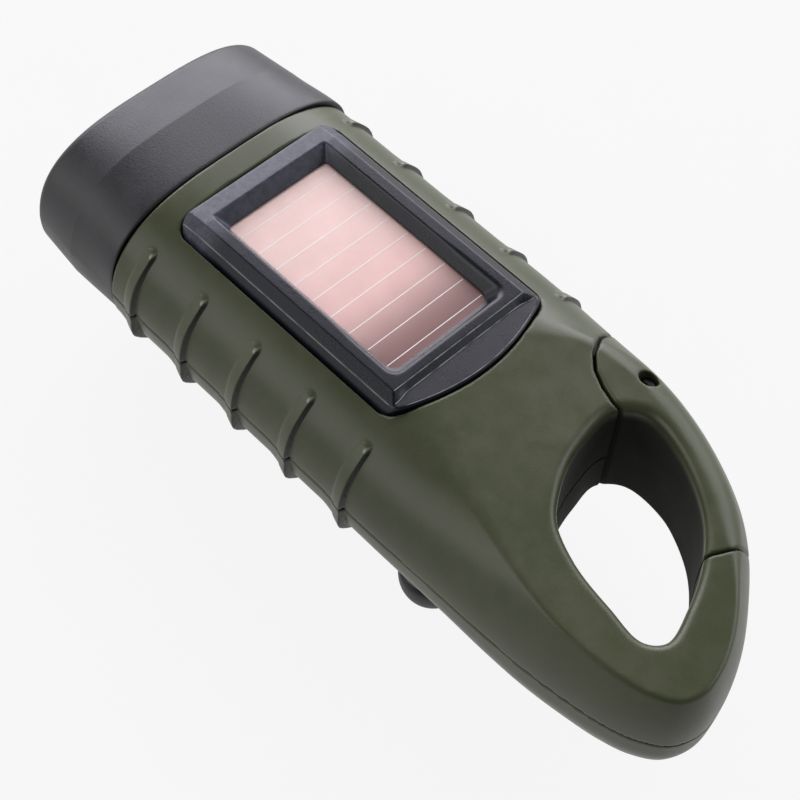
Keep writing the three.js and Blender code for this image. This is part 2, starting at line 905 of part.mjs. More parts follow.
// Place of each housing screw, and the height of the seat under its head
function screwPlaces() {
  const front = body_front - front_screw_setback;
  const side = body_half_width * front_screw_side_share;
  const places = [[front, side], [front, -side]];
  for (const [back, left] of screw_place_shares) {
    places.push([-back * tail_length, left * body_half_width]);
  }
  return places.map(([x, y], i) => [x, y, -body_bottom * screw_head_seat_shares[i]]);
}

function screwBosses(low, high) {
  return screwPlaces().map(([x, y]) => bar(screw_boss_radius, low, high, x, y));
}

// A screw with its head on a seat and its tip above or below it
function screw(x, y, seat, tip, radius, head_radius, head_height) {
  const way = Math.sign(tip - seat);
  const face = seat - way * head_height;
  const middle = seat - (way * head_height) / 2;
  const slot = head_radius * screw_slot_share;
  const reach = head_radius * screw_slot_reach_share;
  const low = Math.min(middle, face - way * overrun);
  const high = Math.max(middle, face - way * overrun);
  const cross = box([x - reach, y - slot, low], [x + reach, y + slot, high])
    .add(box([x - slot, y - reach, low], [x + slot, y + reach, high]));
  return bar(head_radius, face, seat, x, y).add(bar(radius, middle, tip, x, y)).subtract(cross);
}

function housingScrew([x, y, seat]) {
  return screw(x, y, seat, screw_bite, screw_radius, screw_head_radius, screw_head);
}

function screwCuts() {
  return screwPlaces().map(([x, y, seat]) => {
    const under = -body_bottom - overrun;
    const counterbore = bar(screw_head_radius + fit_gap, under, seat + seat_gap, x, y);
    return counterbore.add(bar(screw_radius + screw_gap, under, screw_bite + seat_gap, x, y));
  });
}

function bezelPocket() {
  return extrude(bezelShape(fit_gap), bezel_seat, body_top + overrun);
}

// Which part of the body block stays with the shells: all but the gate, plus its tongue
function shellBlock(block) {
  const cut = prism(gateOutline(0, 0), -body_bottom - overrun, body_top + overrun);
  const carried = tongue(0).add(tongueRoot(0));
  return block.subtract(cut.subtract(carried)).add(spigot());
}

function halfSpace(low, high) {
  const side = body_half_width + overrun;
  return box([-tail_length - overrun, -side, low], [head_front + overrun, side, high]);
}

function upperShell(block) {
  let shell = block.intersect(halfSpace(parting_gap / 2, body_top + overrun));
  shell = shell.subtract(bodyCavity());
  for (const boss of screwBosses(parting_gap / 2, cavity_top + seat_gap)) {
    shell = shell.add(boss.intersect(block));
  }
  for (const cut of screwCuts()) {
    shell = shell.subtract(cut);
  }
  for (const x of [-main_board_back + board_post_inset, main_board_front - board_post_inset]) {
    for (const side of [1, -1]) {
      const y = side * (main_board_half_width - board_post_inset);
      const low = main_board_height + board_thickness + seat_gap;
      shell = shell.add(bar(board_post_radius, low, cavity_top + seat_gap, x, y));
    }
  }
  return shell.subtract(bezelPocket()).subtract(pinBore(seat_gap));
}

function lowerShell(block) {
  let shell = block.intersect(halfSpace(-body_bottom - overrun, -parting_gap / 2));
  shell = shell.subtract(bodyCavity());
  for (const boss of screwBosses(-floor_top, -parting_gap / 2)) {
    shell = shell.add(boss.intersect(block.intersect(halfSpace(-body_bottom, -parting_gap / 2))));
  }
  for (const [x, y] of plateBossPlaces()) {
    shell = shell.add(bar(plate_boss_radius, -floor_top - seat_gap, plate_bottom - seat_gap, x, y));
  }
  for (const side of [1, -1]) {
    const y = side * switch_post_side;
    const top = switch_board_bottom - seat_gap;
    shell = shell.add(bar(switch_post_radius, -floor_top - seat_gap, top, switch_forward, y));
  }
  for (const cut of screwCuts()) {
    shell = shell.subtract(cut);
  }
  for (const [x, y] of plateBossPlaces()) {
    const low = plate_bottom - plate_screw_length - seat_gap;
    shell = shell.subtract(bar(plate_screw_radius + screw_gap, low, 0, x, y));
  }
  for (const [x, y] of [idler_1_place, idler_2_place, rotor_place]) {
    const low = -floor_top - axle_seat - seat_gap;
    shell = shell.subtract(bar(axle_radius + screw_gap, low, 0, x, y));
  }
  const under = -body_bottom - overrun;
  const button_hole = bar(button_radius + fit_gap, under, 0, switch_forward, 0, sides_round);
  const bush_hole = bar(bush_radius + screw_gap, under, 0, 0, 0, sides_round);
  return shell.subtract(button_hole).subtract(bush_hole);
}

// Head

// Section of the head at a place along x, drawn in by an inset
function headSection(x, inset) {
  const from_seam = x - body_front;
  const to_crease = smooth(from_seam, 0, head_crease);
  const past_crease = Math.min(1, Math.max(0, from_seam - head_crease) / (head_length - head_crease));
  const width = mixed(head_half_width, head_front_half_width, past_crease) - inset;
  const top = mixed(head_top, head_front_top, past_crease) - inset;
  const bottom = mixed(mixed(body_bottom - head_lip, head_bottom, to_crease),
    head_front_bottom, past_crease) - inset;
  const steps = 36;
  const ring = [];
  for (let i = 0; i < steps; i += 1) {
    const angle = ((i + 1 / 2) / steps) * Math.PI * 2;
    const out = Math.sign(Math.cos(angle)) * Math.abs(Math.cos(angle)) ** (2 / side_power);
    const up = Math.sign(Math.sin(angle)) * Math.abs(Math.sin(angle)) ** (2 / head_power);
    ring.push([x, width * out, (up > 0 ? top : bottom) * up]);
  }
  return ring;
}

// An opening like a racing track, seen along the beam
function windowSection(x, grow) {
  const half_width = window_half_width + grow;
  const half_height = window_half_height + grow;
  const steps = 28;
  const ring = [];
  for (let i = 0; i < steps; i += 1) {
    const angle = ((i + 1 / 2) / steps) * Math.PI * 2;
    const straight = Math.sign(Math.cos(angle)) * (half_width - half_height);
    ring.push([x, straight + half_height * Math.cos(angle), half_height * Math.sin(angle)]);
  }
  return ring;
}

const lens_front = head_front - lens_recess;
const lens_back = lens_front - lens_thickness;
const reflector_front = lens_back - seat_gap;
const reflector_back = reflector_front - reflector_depth;
const led_board_front = reflector_back - seat_gap;
const led_board_back = led_board_front - board_thickness;

function headCap() {
  const rounded = [0, 0.35, 1].map((share) => {
    const x = head_front - head_edge_round * (1 - share);
    return headSection(x, head_edge_round * (1 - Math.sqrt(1 - share * share)));
  });
  const stations = [body_front + fit_gap, body_front + head_crease / 2, body_front + head_crease];
  const outer = loft([...stations.map((x) => headSection(x, 0)), ...rounded], true);
  const inner = loft(
    [
      headSection(body_front - overrun, head_wall + head_lip),
      headSection(body_front + head_crease, head_wall + head_lip),
      headSection(lens_back - seat_gap, head_wall + head_lip),
    ],
    true,
  );
  const seat = windowSection(lens_front + seat_gap, window_lip + seat_gap);
  const pocket = loft([windowSection(body_front, window_lip + seat_gap), seat], true);
  const mouth = loft(
    [windowSection(body_front, 0), windowSection(lens_front, 0),
      windowSection(head_front + overrun, overrun)],
    true,
  );
  return outer.subtract(inner).subtract(pocket).subtract(mouth);
}

function lens() {
  return loft(
    [windowSection(lens_back, window_lip), windowSection(lens_front, window_lip)],
    true,
  );
}

function cupPlaces() {
  return [-1, 0, 1].map((i) => i * cup_pitch);
}

// A turned piece that points along the beam: its profile is [radius, x]
function turnedAlong(profile, y, sides = sides_round) {
  const points = profile.map(([radius, x]) => new THREE.Vector2(radius, x));
  const geometry = new THREE.LatheGeometry(points, sides);
  geometry.rotateZ(-Math.PI / 2);
  geometry.translate(0, y, 0);
  return solid(geometry);
}

// Reflector block with three bowls, each open at the back for its lamp
function reflector() {
  const rim = windowSection(reflector_front, window_lip);
  const shoulder = windowSection(reflector_back, window_lip - head_wall);
  let block = loft([shoulder, rim], true);
  const bowl_shares = [0, 0.25, 0.55, 0.8, 1];
  for (const y of cupPlaces()) {
    const profile = [[0, reflector_back - overrun], [cup_back_radius, reflector_back - overrun]];
    for (const share of bowl_shares) {
      const radius = mixed(cup_back_radius, cup_front_radius, Math.sqrt(share));
      profile.push([radius, mixed(reflector_back, reflector_front, share)]);
    }
    profile.push([cup_front_radius, reflector_front + overrun], [0, reflector_front + overrun]);
    block = block.subtract(turnedAlong(profile, y));
  }
  return block;
}

function ledBoard() {
  const inset = window_lip - head_wall;
  return loft([windowSection(led_board_back, inset), windowSection(led_board_front, inset)], true);
}

function led(y) {
  const start = led_board_front + seat_gap;
  const dome = start + led_height - led_radius;
  const profile = [[0, start], [led_flange_radius, start], [led_flange_radius, start + led_flange],
    [led_radius, start + led_flange]];
  for (const share of [0, 0.25, 0.5, 0.75, 1]) {
    const angle = (share * Math.PI) / 2;
    const radius = share < 1 ? led_radius * Math.cos(angle) : 0;
    profile.push([radius, dome + led_radius * Math.sin(angle)]);
  }
  return turnedAlong(profile, y, sides_small);
}

// Solar panel

// Outline of the bezel: straight sides, round front corners and an arched rear edge
function bezelShape(grow) {
  const front = bezel_front + grow;
  const back = -bezel_back;
  const side = bezel_half_width + grow;
  const corner = bezel_corner + grow;
  const shape = new THREE.Shape();
  shape.moveTo(front, -side + corner);
  shape.lineTo(front, side - corner);
  shape.absarc(front - corner, side - corner, corner, 0, Math.PI / 2, false);
  shape.lineTo(back + corner, side);
  const lean = back - grow - bezel_corner_lean;
  shape.quadraticCurveTo(back - grow, side, lean, side - corner);
  const bulge = back - grow - bezel_bulge - bezel_bulge;
  shape.quadraticCurveTo(bulge, 0, lean, -side + corner);
  shape.quadraticCurveTo(back - grow, -side, back + corner, -side);
  shape.lineTo(front - corner, -side);
  shape.absarc(front - corner, -side + corner, corner, -Math.PI / 2, 0, false);
  return shape;
}

function rectangle(front, back, side, height) {
  return [[back, -side, height], [front, -side, height], [front, side, height],
    [back, side, height]];
}

function solarBezel() {
  const frame_block = extrude(bezelShape(0), bezel_seat + seat_gap, bezel_top, bezel_edge);
  const above = bezel_top - panel_face;
  const rise = (above + overrun) / above;
  const window = loft([
    rectangle(opening_front, -opening_back, opening_half_width, bezel_seat - overrun),
    rectangle(opening_front, -opening_back, opening_half_width, panel_face),
    rectangle(
      opening_front + opening_flare_front * rise,
      -opening_back - opening_flare_back * rise,
      opening_half_width + opening_flare_side * rise,
      panel_face + above * rise,
    ),
  ]);
  const pocket = box(
    [-panel_back - fit_gap, -panel_half_width - fit_gap, bezel_seat - overrun],
    [panel_front + fit_gap, panel_half_width + fit_gap, panel_face + seat_gap],
  );
  const step = bezel_step_line + bezel_step_run;
  const end = bezel_back + bezel_bulge + overrun;
  const rear_step = sidePrism(
    [
      [-end, bezel_top - bezel_step_drop - bezel_rear_drop],
      [-step, bezel_top - bezel_step_drop],
      [-bezel_step_line, bezel_top],
      [-bezel_step_line, bezel_top + overrun],
      [-end, bezel_top + overrun],
    ],
    bezel_half_width + overrun,
  );
  return frame_block.subtract(window).subtract(pocket).subtract(rear_step);
}

function solarPanel() {
  const bottom = panel_face - panel_thickness;
  return box([-panel_back, -panel_half_width, bottom], [panel_front, panel_half_width, panel_face]);
}

function panelPad() {
  const inset = fit_gap + fit_gap;
  const top = panel_face - panel_thickness - seat_gap;
  return box(
    [-panel_back + inset, -panel_half_width + inset, bezel_seat + seat_gap],
    [panel_front - inset, panel_half_width - inset, top],
  );
}

// Gears

const gear_radius = (teeth) => (teeth * gear_module) / 2;

// Outline of a spur gear with its first tooth on +X
function gearShape(teeth, bore) {
  const radius = gear_radius(teeth);
  const tip = radius + gear_module * tooth_height_share;
  const foot = radius - gear_module * tooth_root_share;
  const pitch = (Math.PI * 2) / teeth;
  const corner_shares = [
    [foot, -tooth_foot_share],
    [radius, -tooth_pitch_share],
    [tip, -tooth_tip_share],
    [tip, tooth_tip_share],
    [radius, tooth_pitch_share],
    [foot, tooth_foot_share],
  ];
  const points = [];
  for (let i = 0; i < teeth; i += 1) {
    for (const [r, width] of corner_shares) {
      const angle = pitch * (i + width / 2);
      points.push(new THREE.Vector2(Math.cos(angle) * r, Math.sin(angle) * r));
    }
  }
  const shape = new THREE.Shape(points);
  if (bore > 0) {
    shape.holes.push(new THREE.Path().absarc(0, 0, bore, 0, Math.PI * 2, true));
  }
  return shape;
}

const stagePlace = ([x, y], distance, bearing) => [
  x + distance * Math.cos(bearing * degree),
  y + distance * Math.sin(bearing * degree),
];
const stage_1 = gear_radius(crank_teeth) + gear_radius(pinion_teeth);
const stage_2 = gear_radius(idler_1_teeth) + gear_radius(pinion_teeth);
const stage_3 = gear_radius(idler_2_teeth) + gear_radius(pinion_teeth);
const idler_1_place = stagePlace([0, 0], stage_1, idler_1_bearing);
const idler_2_place = stagePlace(idler_1_place, stage_2, idler_2_bearing);
const rotor_place = stagePlace(idler_2_place, stage_3, rotor_bearing);

// Angle that sets a driven gear's gap against the driver's tooth on the line of centres
function meshAngle(driver_teeth, driver_angle, driven_teeth, bearing) {
  const line = bearing * degree;
  const pitch = Math.PI * 2;
  const phase = (driver_teeth * (line - driver_angle)) / pitch;
  return line + Math.PI - (pitch / driven_teeth) * (1 / 2 - phase);
}

const idler_1_angle = meshAngle(crank_teeth, 0, pinion_teeth, idler_1_bearing);
const idler_2_angle = meshAngle(idler_1_teeth, idler_1_angle, pinion_teeth, idler_2_bearing);
const rotor_angle = meshAngle(idler_2_teeth, idler_2_angle, pinion_teeth, rotor_bearing);

const crank_gear_top = crank_gear_level + gear_layer;
const wheel_1_bottom = crank_gear_top + layer_gap;
const wheel_1_top = wheel_1_bottom + wheel_thickness;
const wheel_2_bottom = wheel_1_top + layer_gap;
const wheel_2_top = wheel_2_bottom + wheel_thickness;
const plate_bottom = wheel_2_top + layer_gap;
const plate_top = plate_bottom + plate_thickness;

function idler(teeth, pinion_bottom, wheel_bottom) {
  const bore = axle_radius + running_gap;
  const pinion = extrude(gearShape(pinion_teeth, bore), pinion_bottom, wheel_bottom);
  const wheel = extrude(gearShape(teeth, bore), wheel_bottom, wheel_bottom + wheel_thickness);
  return pinion.add(wheel);
}

function plateBossPlaces() {
  return plate_boss_places_share.map(([forward, side]) => [
    forward * plate_front,
    side * plate_half_width,
  ]);
}

function gearPlate() {
  const shape = new THREE.Shape();
  const r = plate_corner;
  const low = [-plate_back + r, -plate_half_width + r];
  const high = [plate_front - r, plate_half_width - r];
  shape.absarc(high[0], high[1], r, 0, Math.PI / 2, false);
  shape.absarc(low[0], high[1], r, Math.PI / 2, Math.PI, false);
  shape.absarc(low[0], low[1], r, Math.PI, Math.PI * 1.5, false);
  shape.absarc(high[0], low[1], r, Math.PI * 1.5, Math.PI * 2, false);
  let plate = extrude(shape, plate_bottom, plate_top);
  const seat = can_radius + fit_gap;
  plate = plate.add(bar(seat, plate_bottom, plate_top, ...rotor_place, sides_round));
  for (const [x, y] of [idler_1_place, idler_2_place]) {
    plate = plate.subtract(bar(axle_radius + screw_gap, plate_bottom - overrun, plate_top, x, y));
  }
  for (const [x, y] of plateBossPlaces()) {
    const hole = plate_screw_radius + screw_gap;
    plate = plate.subtract(bar(hole, plate_bottom - overrun, plate_top + overrun, x, y));
  }
  const shaft_hole = bar(
    shaft_spigot_radius + running_gap,
    plate_bottom - overrun,
    plate_top + overrun,
  );
  const rotor_hole = bar(
    rotor_shaft_radius + running_gap,
    plate_bottom - overrun,
    plate_top + overrun,
    ...rotor_place,
  );
  return plate.subtract(shaft_hole).subtract(rotor_hole);
}

function plateScrew([x, y]) {
  const tip = plate_bottom - plate_screw_length;
  const seat = plate_top + seat_gap;
  return screw(x, y, seat, tip, plate_screw_radius, plate_screw_head_radius, plate_screw_head);
}

function axle([x, y]) {
  return bar(axle_radius, -floor_top - axle_seat, plate_top - seat_gap, x, y);
}

// Crank

// Turned shaft: square end for the arm, journal in the bush, square key and collar for
// the gear, and a thin spigot in the gear plate
function crankShaft() {
  const drive = shaft_drive / 2;
  const key = shaft_key / 2;
  const key_bottom = -floor_top + bush_flange + seat_gap;
  const collar_top = crank_gear_top + shaft_collar;
  const pilot = bar(crank_screw_radius + screw_gap, arm_bottom - overrun, -body_bottom + seat_gap);
  return box([-drive, -drive, screw_seat + seat_gap], [drive, drive, -body_bottom])
    .add(bar(shaft_radius, arm_top + arm_gap / 2, crank_gear_top))
    .add(box([-key, -key, key_bottom], [key, key, collar_top - seat_gap]))
    .add(bar(shaft_collar_radius, crank_gear_top + seat_gap, collar_top))
    .add(bar(shaft_spigot_radius, crank_gear_top, plate_top + seat_gap))
    .subtract(pilot);
}

function crankGear() {
  const wheel = extrude(gearShape(crank_teeth, 0), crank_gear_level + seat_gap, crank_gear_top);
  const half = shaft_key / 2 + screw_gap;
  const bore = box([-half, -half, crank_gear_level - overrun], [half, half, crank_gear_top + overrun]);
  let made = wheel.subtract(bore);
  const spokes = 6;
  const middle = gear_radius(crank_teeth) / 2 + shaft_radius / 2;
  for (let i = 0; i < spokes; i += 1) {
    const angle = ((i + 1 / 2) / spokes) * Math.PI * 2;
    const x = middle * Math.cos(angle);
    const y = middle * Math.sin(angle);
    const hole = gear_radius(crank_teeth) / spokes;
    made = made.subtract(bar(hole, crank_gear_level - overrun, crank_gear_top + overrun, x, y));
  }
  return made;
}

function crankBush() {
  const top = -floor_top + bush_flange;
  const sleeve = bar(bush_radius, -body_bottom - bush_proud, top, 0, 0, sides_round);
  const flange = bar(bush_flange_radius, -floor_top + seat_gap, top, 0, 0, sides_round);
  const bore = bar(shaft_radius + running_gap, -body_bottom - overrun, 0, 0, 0);
  return sleeve.add(flange).subtract(bore);
}

// Plan of the arm: two round ends joined by straight tangents, drawn in by an inset
function armShape(inset) {
  const hub = arm_hub_radius - inset;
  const end = arm_knob_radius - inset;
  const lean = Math.asin((hub - end) / crank_length);
  const shape = new THREE.Shape();
  shape.absarc(-crank_length, 0, end, Math.PI / 2 + lean, (Math.PI * 3) / 2 - lean, false);
  shape.absarc(0, 0, hub, -Math.PI / 2 - lean, Math.PI / 2 + lean, false);
  shape.closePath();
  return shape;
}

const arm_top = -body_bottom - arm_gap;
const arm_bottom = arm_top - arm_thickness;
const screw_seat = arm_bottom + arm_groove + crank_screw_head;
const knob_pin_end = arm_top - arm_edge;

function crankArm() {
  const under = arm_bottom - overrun;
  const blank = extrude(armShape(0), arm_bottom, arm_top, arm_edge, sides_round / 2);
  const half = shaft_drive / 2 + screw_gap;
  const socket = box([-half, -half, screw_seat - seat_gap], [half, half, arm_top + overrun]);
  const counterbore = bar(crank_screw_head_radius + fit_gap, under, screw_seat);
  const bore = bar(knob_pin_radius + screw_gap, under, knob_pin_end, -crank_length, 0);
  const groove = extrude(armGrooveShape(), under, arm_bottom + arm_groove);
  return blank.subtract(groove).subtract(socket).subtract(counterbore).subtract(bore);
}

// Shallow groove along the outside of the arm, between hub and knob
function armGrooveShape() {
  const half = arm_knob_radius - arm_groove_rim;
  const near = -arm_hub_radius - arm_groove_rim;
  const far = -crank_length + knob_radius + arm_groove_rim;
  const shape = new THREE.Shape();
  shape.absarc(far, 0, half, Math.PI / 2, (Math.PI * 3) / 2, false);
  shape.absarc(near, 0, half, -Math.PI / 2, Math.PI / 2, false);
  shape.closePath();
  return shape;
}

function crankScrew() {
  const seat = screw_seat - seat_gap;
  const tip = -body_bottom;
  return screw(0, 0, seat, tip, crank_screw_radius, crank_screw_head_radius, crank_screw_head);
}

function crankKnob() {
  const top = -knob_top;
  const bottom = top - knob_height;
  const dome = knob_height - knob_shoulder;
  const profile = [[0, bottom]];
  for (let i = 0; i <= knob_steps; i += 1) {
    const angle = ((i / knob_steps) * Math.PI) / 2;
    const radius = mixed(knob_face_radius, knob_radius, Math.sin(angle));
    profile.push([radius, bottom + dome - dome * Math.cos(angle)]);
  }
  profile.push([knob_radius, top - knob_top_round]);
  profile.push([knob_radius - knob_top_round, top], [0, top]);
  const bore = bar(knob_pin_radius + running_gap, bottom - overrun, top + overrun);
  const recess = bar(
    knob_pin_head_radius + fit_gap / 2,
    bottom - overrun,
    bottom + knob_pin_sunk + knob_pin_head + seat_gap,
  );
  return turned(profile).subtract(bore).subtract(recess);
}

function knobPin() {
  const bottom = -knob_top - knob_height + knob_pin_sunk;
  const head_top = bottom + knob_pin_head;
  const rim = knob_pin_head_radius;
  return turned([
    [0, bottom],
    [knob_pin_face_radius, bottom],
    [rim, bottom + knob_pin_chamfer],
    [rim, head_top],
    [knob_pin_radius, head_top],
    [knob_pin_radius, knob_pin_end - seat_gap],
    [0, knob_pin_end - seat_gap],
  ], 0, 0, sides_small);
}

// Generator

function ringOf(outer, inner, bottom, top, x, y) {
  const made = bar(outer, bottom, top, x, y, sides_round);
  return made.subtract(bar(inner, bottom - overrun, top + overrun, x, y, sides_round));
}

const can_bottom = plate_top + seat_gap;
const can_top = can_bottom + can_height;

// Two-part can of the alternator, open in the middle of its floor and lid for the shaft
function statorCan() {
  const [x, y] = rotor_place;
  const outside = bar(can_radius, can_bottom, can_top, x, y, sides_round);
  const inside = bar(can_radius - can_wall, can_bottom + can_wall, can_top - can_wall, x, y,
    sides_round);
  const bore = bar(rotor_shaft_radius + fit_gap, can_bottom - overrun, can_top + overrun, x, y);
  return outside.subtract(inside).subtract(bore);
}

function statorCoil() {
  const [x, y] = rotor_place;
  const low = can_bottom + can_wall + seat_gap;
  const high = can_top - can_wall - seat_gap;
  const radius = can_radius - can_wall - seat_gap;
  const flange = (high - low) / 6;
  const waist = ringOf(radius + overrun, radius - can_wall, low + flange, high - flange, x, y);
  return ringOf(radius, coil_inner_radius, low, high, x, y).subtract(waist);
}

function rotorMagnet() {
  const middle = (can_bottom + can_top) / 2;
  const half = magnet_height / 2;
  const bore = rotor_shaft_radius + screw_gap;
  return ringOf(magnet_radius, bore, middle - half, middle + half, 0, 0);
}

function rotorShaft() {
  return bar(rotor_shaft_radius, -floor_top - axle_seat, can_top - seat_gap, 0, 0);
}

function rotorPinion() {
  const bore = rotor_shaft_radius + screw_gap;
  const gap = layer_gap / 2;
  return extrude(gearShape(pinion_teeth, bore), wheel_2_bottom - gap, wheel_2_top + gap);
}

// Battery, board and switch

function battery() {
  const cell = battery_length / battery_cells;
  const profile = [[0, -battery_length / 2]];
  for (let i = 0; i < battery_cells; i += 1) {
    const start = i * cell - battery_length / 2;
    profile.push([battery_radius - cell_groove, start]);
    profile.push([battery_radius, start + cell_groove]);
    profile.push([battery_radius, start + cell - cell_groove]);
    profile.push([battery_radius - cell_groove, start + cell - cell_groove_slope]);
  }
  profile.push([battery_radius - cell_groove, battery_length / 2], [0, battery_length / 2]);
  const points = profile.map(([radius, along]) => new THREE.Vector2(radius, along));
  const geometry = new THREE.LatheGeometry(points, sides_round);
  geometry.translate(-battery_back, 0, battery_height);
  return solid(geometry);
}

// Saddle that holds the battery up from the floor of the lower shell
function batteryCradle() {
  const side = cradle_half_width;
  const top = battery_height - battery_radius / 2;
  const block = box(
    [-cradle_back, -side, -floor_top + seat_gap],
    [-cradle_front, side, top],
  );
  const geometry = new THREE.CylinderGeometry(
    battery_radius + seat_gap,
    battery_radius + seat_gap,
    battery_length + overrun,
    sides_round,
  );
  geometry.translate(-battery_back, 0, battery_height);
  return block.subtract(solid(geometry));
}

function mainBoard() {
  const top = main_board_height + board_thickness;
  const board = box(
    [-main_board_back, -main_board_half_width, main_board_height],
    [main_board_front, main_board_half_width, top],
  );
  const x = main_board_front / 2;
  const chip = box(
    [x - chip_length / 2, -chip_width / 2, main_board_height - chip_height],
    [x + chip_length / 2, chip_width / 2, main_board_height + seat_gap],
  );
  return board.add(chip);
}

const button_flange_bottom = -floor_top + seat_gap;
const button_flange_top = button_flange_bottom + button_flange;
const plunger_bottom = button_flange_top + seat_gap;
const tact_bottom = button_flange_top + button_travel + seat_gap + seat_gap;
const tact_top = tact_bottom + tact_height;
const switch_board_bottom = tact_top + seat_gap;

function switchButton() {
  const low = -body_bottom - button_proud;
  return turned([
    [0, low],
    [button_face_radius, low + button_face_drop],
    [button_radius, low + button_proud + button_proud / 2],
    [button_radius, button_flange_bottom],
    [button_flange_radius, button_flange_bottom],
    [button_flange_radius, button_flange_top],
    [0, button_flange_top],
  ], switch_forward, 0);
}

function switchPlunger() {
  return bar(plunger_radius, plunger_bottom, plunger_bottom + plunger_height, switch_forward, 0);
}

function tactSwitch() {
  const half = tact_width / 2;
  const body = box(
    [switch_forward - half, -half, tact_bottom],
    [switch_forward + half, half, tact_top],
  );
  const depth = plunger_bottom + plunger_height + button_travel + seat_gap;
  const bore = bar(plunger_radius + seat_gap, tact_bottom - overrun, depth, switch_forward, 0);
  return body.subtract(bore);
}

function switchBoard() {
  const half = switch_board_length / 2;
  const side = switch_board_half_width;
  return box(
    [switch_forward - half, -side, switch_board_bottom],
    [switch_forward + half, side, switch_board_bottom + switch_board_thickness],
  );
}

// Assembly

const block = bodyBlock();
const shells = shellBlock(block);
place('upper_shell', upperShell(shells), 'green');
place('lower_shell', lowerShell(shells), 'green');
place('head_cap', headCap(), 'black');
place('lens', lens(), 'lens');
place('reflector', reflector(), 'chrome');
place('led_board', ledBoard(), 'board');
cupPlaces().forEach((y, i) => place(`led_${i + 1}`, led(y), 'lens'));
place('solar_bezel', solarBezel(), 'bezel');
place('solar_panel', solarPanel(), 'panel');
place('panel_pad', panelPad(), 'foam');
place('carabiner_gate', gate(block), 'green');
place('gate_pin', gatePin(), 'steel');
place('gate_spring', gateSpring(), 'steel');
screwPlaces().forEach((at, i) => place(`housing_screw_${i + 1}`, housingScrew(at), 'steel'));

const crank = new THREE.Group();
crank.rotation.z = -crank_turn * degree;
frame.add(crank);
place('crank_arm', crankArm(), 'green', crank);
place('crank_screw', crankScrew(), 'steel', crank);
const knob_end = new THREE.Group();
knob_end.position.x = -crank_length;
crank.add(knob_end);
place('crank_knob', crankKnob(), 'black', knob_end);
place('knob_pin', knobPin(), 'steel', knob_end);
place('crank_shaft', crankShaft(), 'steel', crank);
place('crank_bush', crankBush(), 'nylon');

// The crank gear sits square on the turned shaft, so its teeth are timed from the arm
place('crank_gear', crankGear(), 'nylon', crank);

function stage(place_at, angle) {
  const turned_group = new THREE.Group();
  turned_group.position.set(...place_at, 0);
  turned_group.rotation.z = angle;
  frame.add(turned_group);
  return turned_group;
}

const lead = -crank_turn * degree;
const carry = (teeth) => (crank_teeth / pinion_teeth) * teeth;
const idler_1_turn = idler_1_angle - (crank_teeth / pinion_teeth) * lead;
const idler_2_turn = idler_2_angle + carry(idler_1_teeth / pinion_teeth) * lead;
const rotor_turn = rotor_angle
  - carry((idler_1_teeth / pinion_teeth) * (idler_2_teeth / pinion_teeth)) * lead;
const idler_1 = stage(idler_1_place, idler_1_turn);
const idler_2 = stage(idler_2_place, idler_2_turn);
const rotor = stage(rotor_place, rotor_turn);
const pinion_1_bottom = crank_gear_level + seat_gap;
const pinion_2_bottom = wheel_1_bottom;
place('idler_gear_1', idler(idler_1_teeth, pinion_1_bottom, wheel_1_bottom), 'nylon', idler_1);
place('idler_gear_2', idler(idler_2_teeth, pinion_2_bottom, wheel_2_bottom), 'nylon', idler_2);
place('rotor_pinion', rotorPinion(), 'nylon', rotor);
place('rotor_magnet', rotorMagnet(), 'magnet', rotor);
place('rotor_shaft', rotorShaft(), 'steel', rotor);
place('idler_axle_1', axle(idler_1_place), 'steel');
place('idler_axle_2', axle(idler_2_place), 'steel');
place('gear_plate', gearPlate(), 'nylon');
plateBossPlaces().forEach((at, i) => place(`plate_screw_${i + 1}`, plateScrew(at), 'steel'));
place('stator_can', statorCan(), 'steel');
place('stator_coil', statorCoil(), 'copper');
place('battery', battery(), 'cell');
place('battery_cradle', batteryCradle(), 'nylon');
place('main_board', mainBoard(), 'board');
place('switch_button', switchButton(), 'black');
place('switch_plunger', switchPlunger(), 'black');
place('tact_switch', tactSwitch(), 'black');
place('switch_board', switchBoard(), 'board');

export default group;
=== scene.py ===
# %% [markdown]
# # A hand crank flashlight, dressed for the camera
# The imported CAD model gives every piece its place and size. This notebook puts finer
# surfaces and finishes round it: a moulded green body with ribs and a hook, a black
# head, a solar panel in its frame, a gate, and the crank under the body.

import json
import math

import bpy
import numpy as np
from mathutils import Matrix, Vector


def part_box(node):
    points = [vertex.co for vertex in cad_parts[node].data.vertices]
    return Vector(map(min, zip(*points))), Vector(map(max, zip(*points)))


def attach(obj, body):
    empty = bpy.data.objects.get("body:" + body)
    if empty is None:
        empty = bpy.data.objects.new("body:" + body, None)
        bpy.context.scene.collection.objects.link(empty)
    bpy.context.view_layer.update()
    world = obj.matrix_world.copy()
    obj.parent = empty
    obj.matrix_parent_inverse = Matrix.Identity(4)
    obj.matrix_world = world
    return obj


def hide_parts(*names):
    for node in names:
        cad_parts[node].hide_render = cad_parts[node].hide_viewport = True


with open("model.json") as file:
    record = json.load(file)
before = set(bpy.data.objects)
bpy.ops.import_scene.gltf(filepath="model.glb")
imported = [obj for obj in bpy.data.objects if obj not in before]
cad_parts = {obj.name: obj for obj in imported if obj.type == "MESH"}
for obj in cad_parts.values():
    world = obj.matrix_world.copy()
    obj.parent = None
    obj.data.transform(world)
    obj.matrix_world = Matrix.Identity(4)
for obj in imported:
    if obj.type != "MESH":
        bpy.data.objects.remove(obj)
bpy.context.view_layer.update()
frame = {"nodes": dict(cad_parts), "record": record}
nodes = frame["nodes"]
MM = 0.001

# %% [markdown]
# The body is drawn round one place: the crank's axis, at the height where the two shells
# meet. Reading that place from the solids keeps this file in step with them.

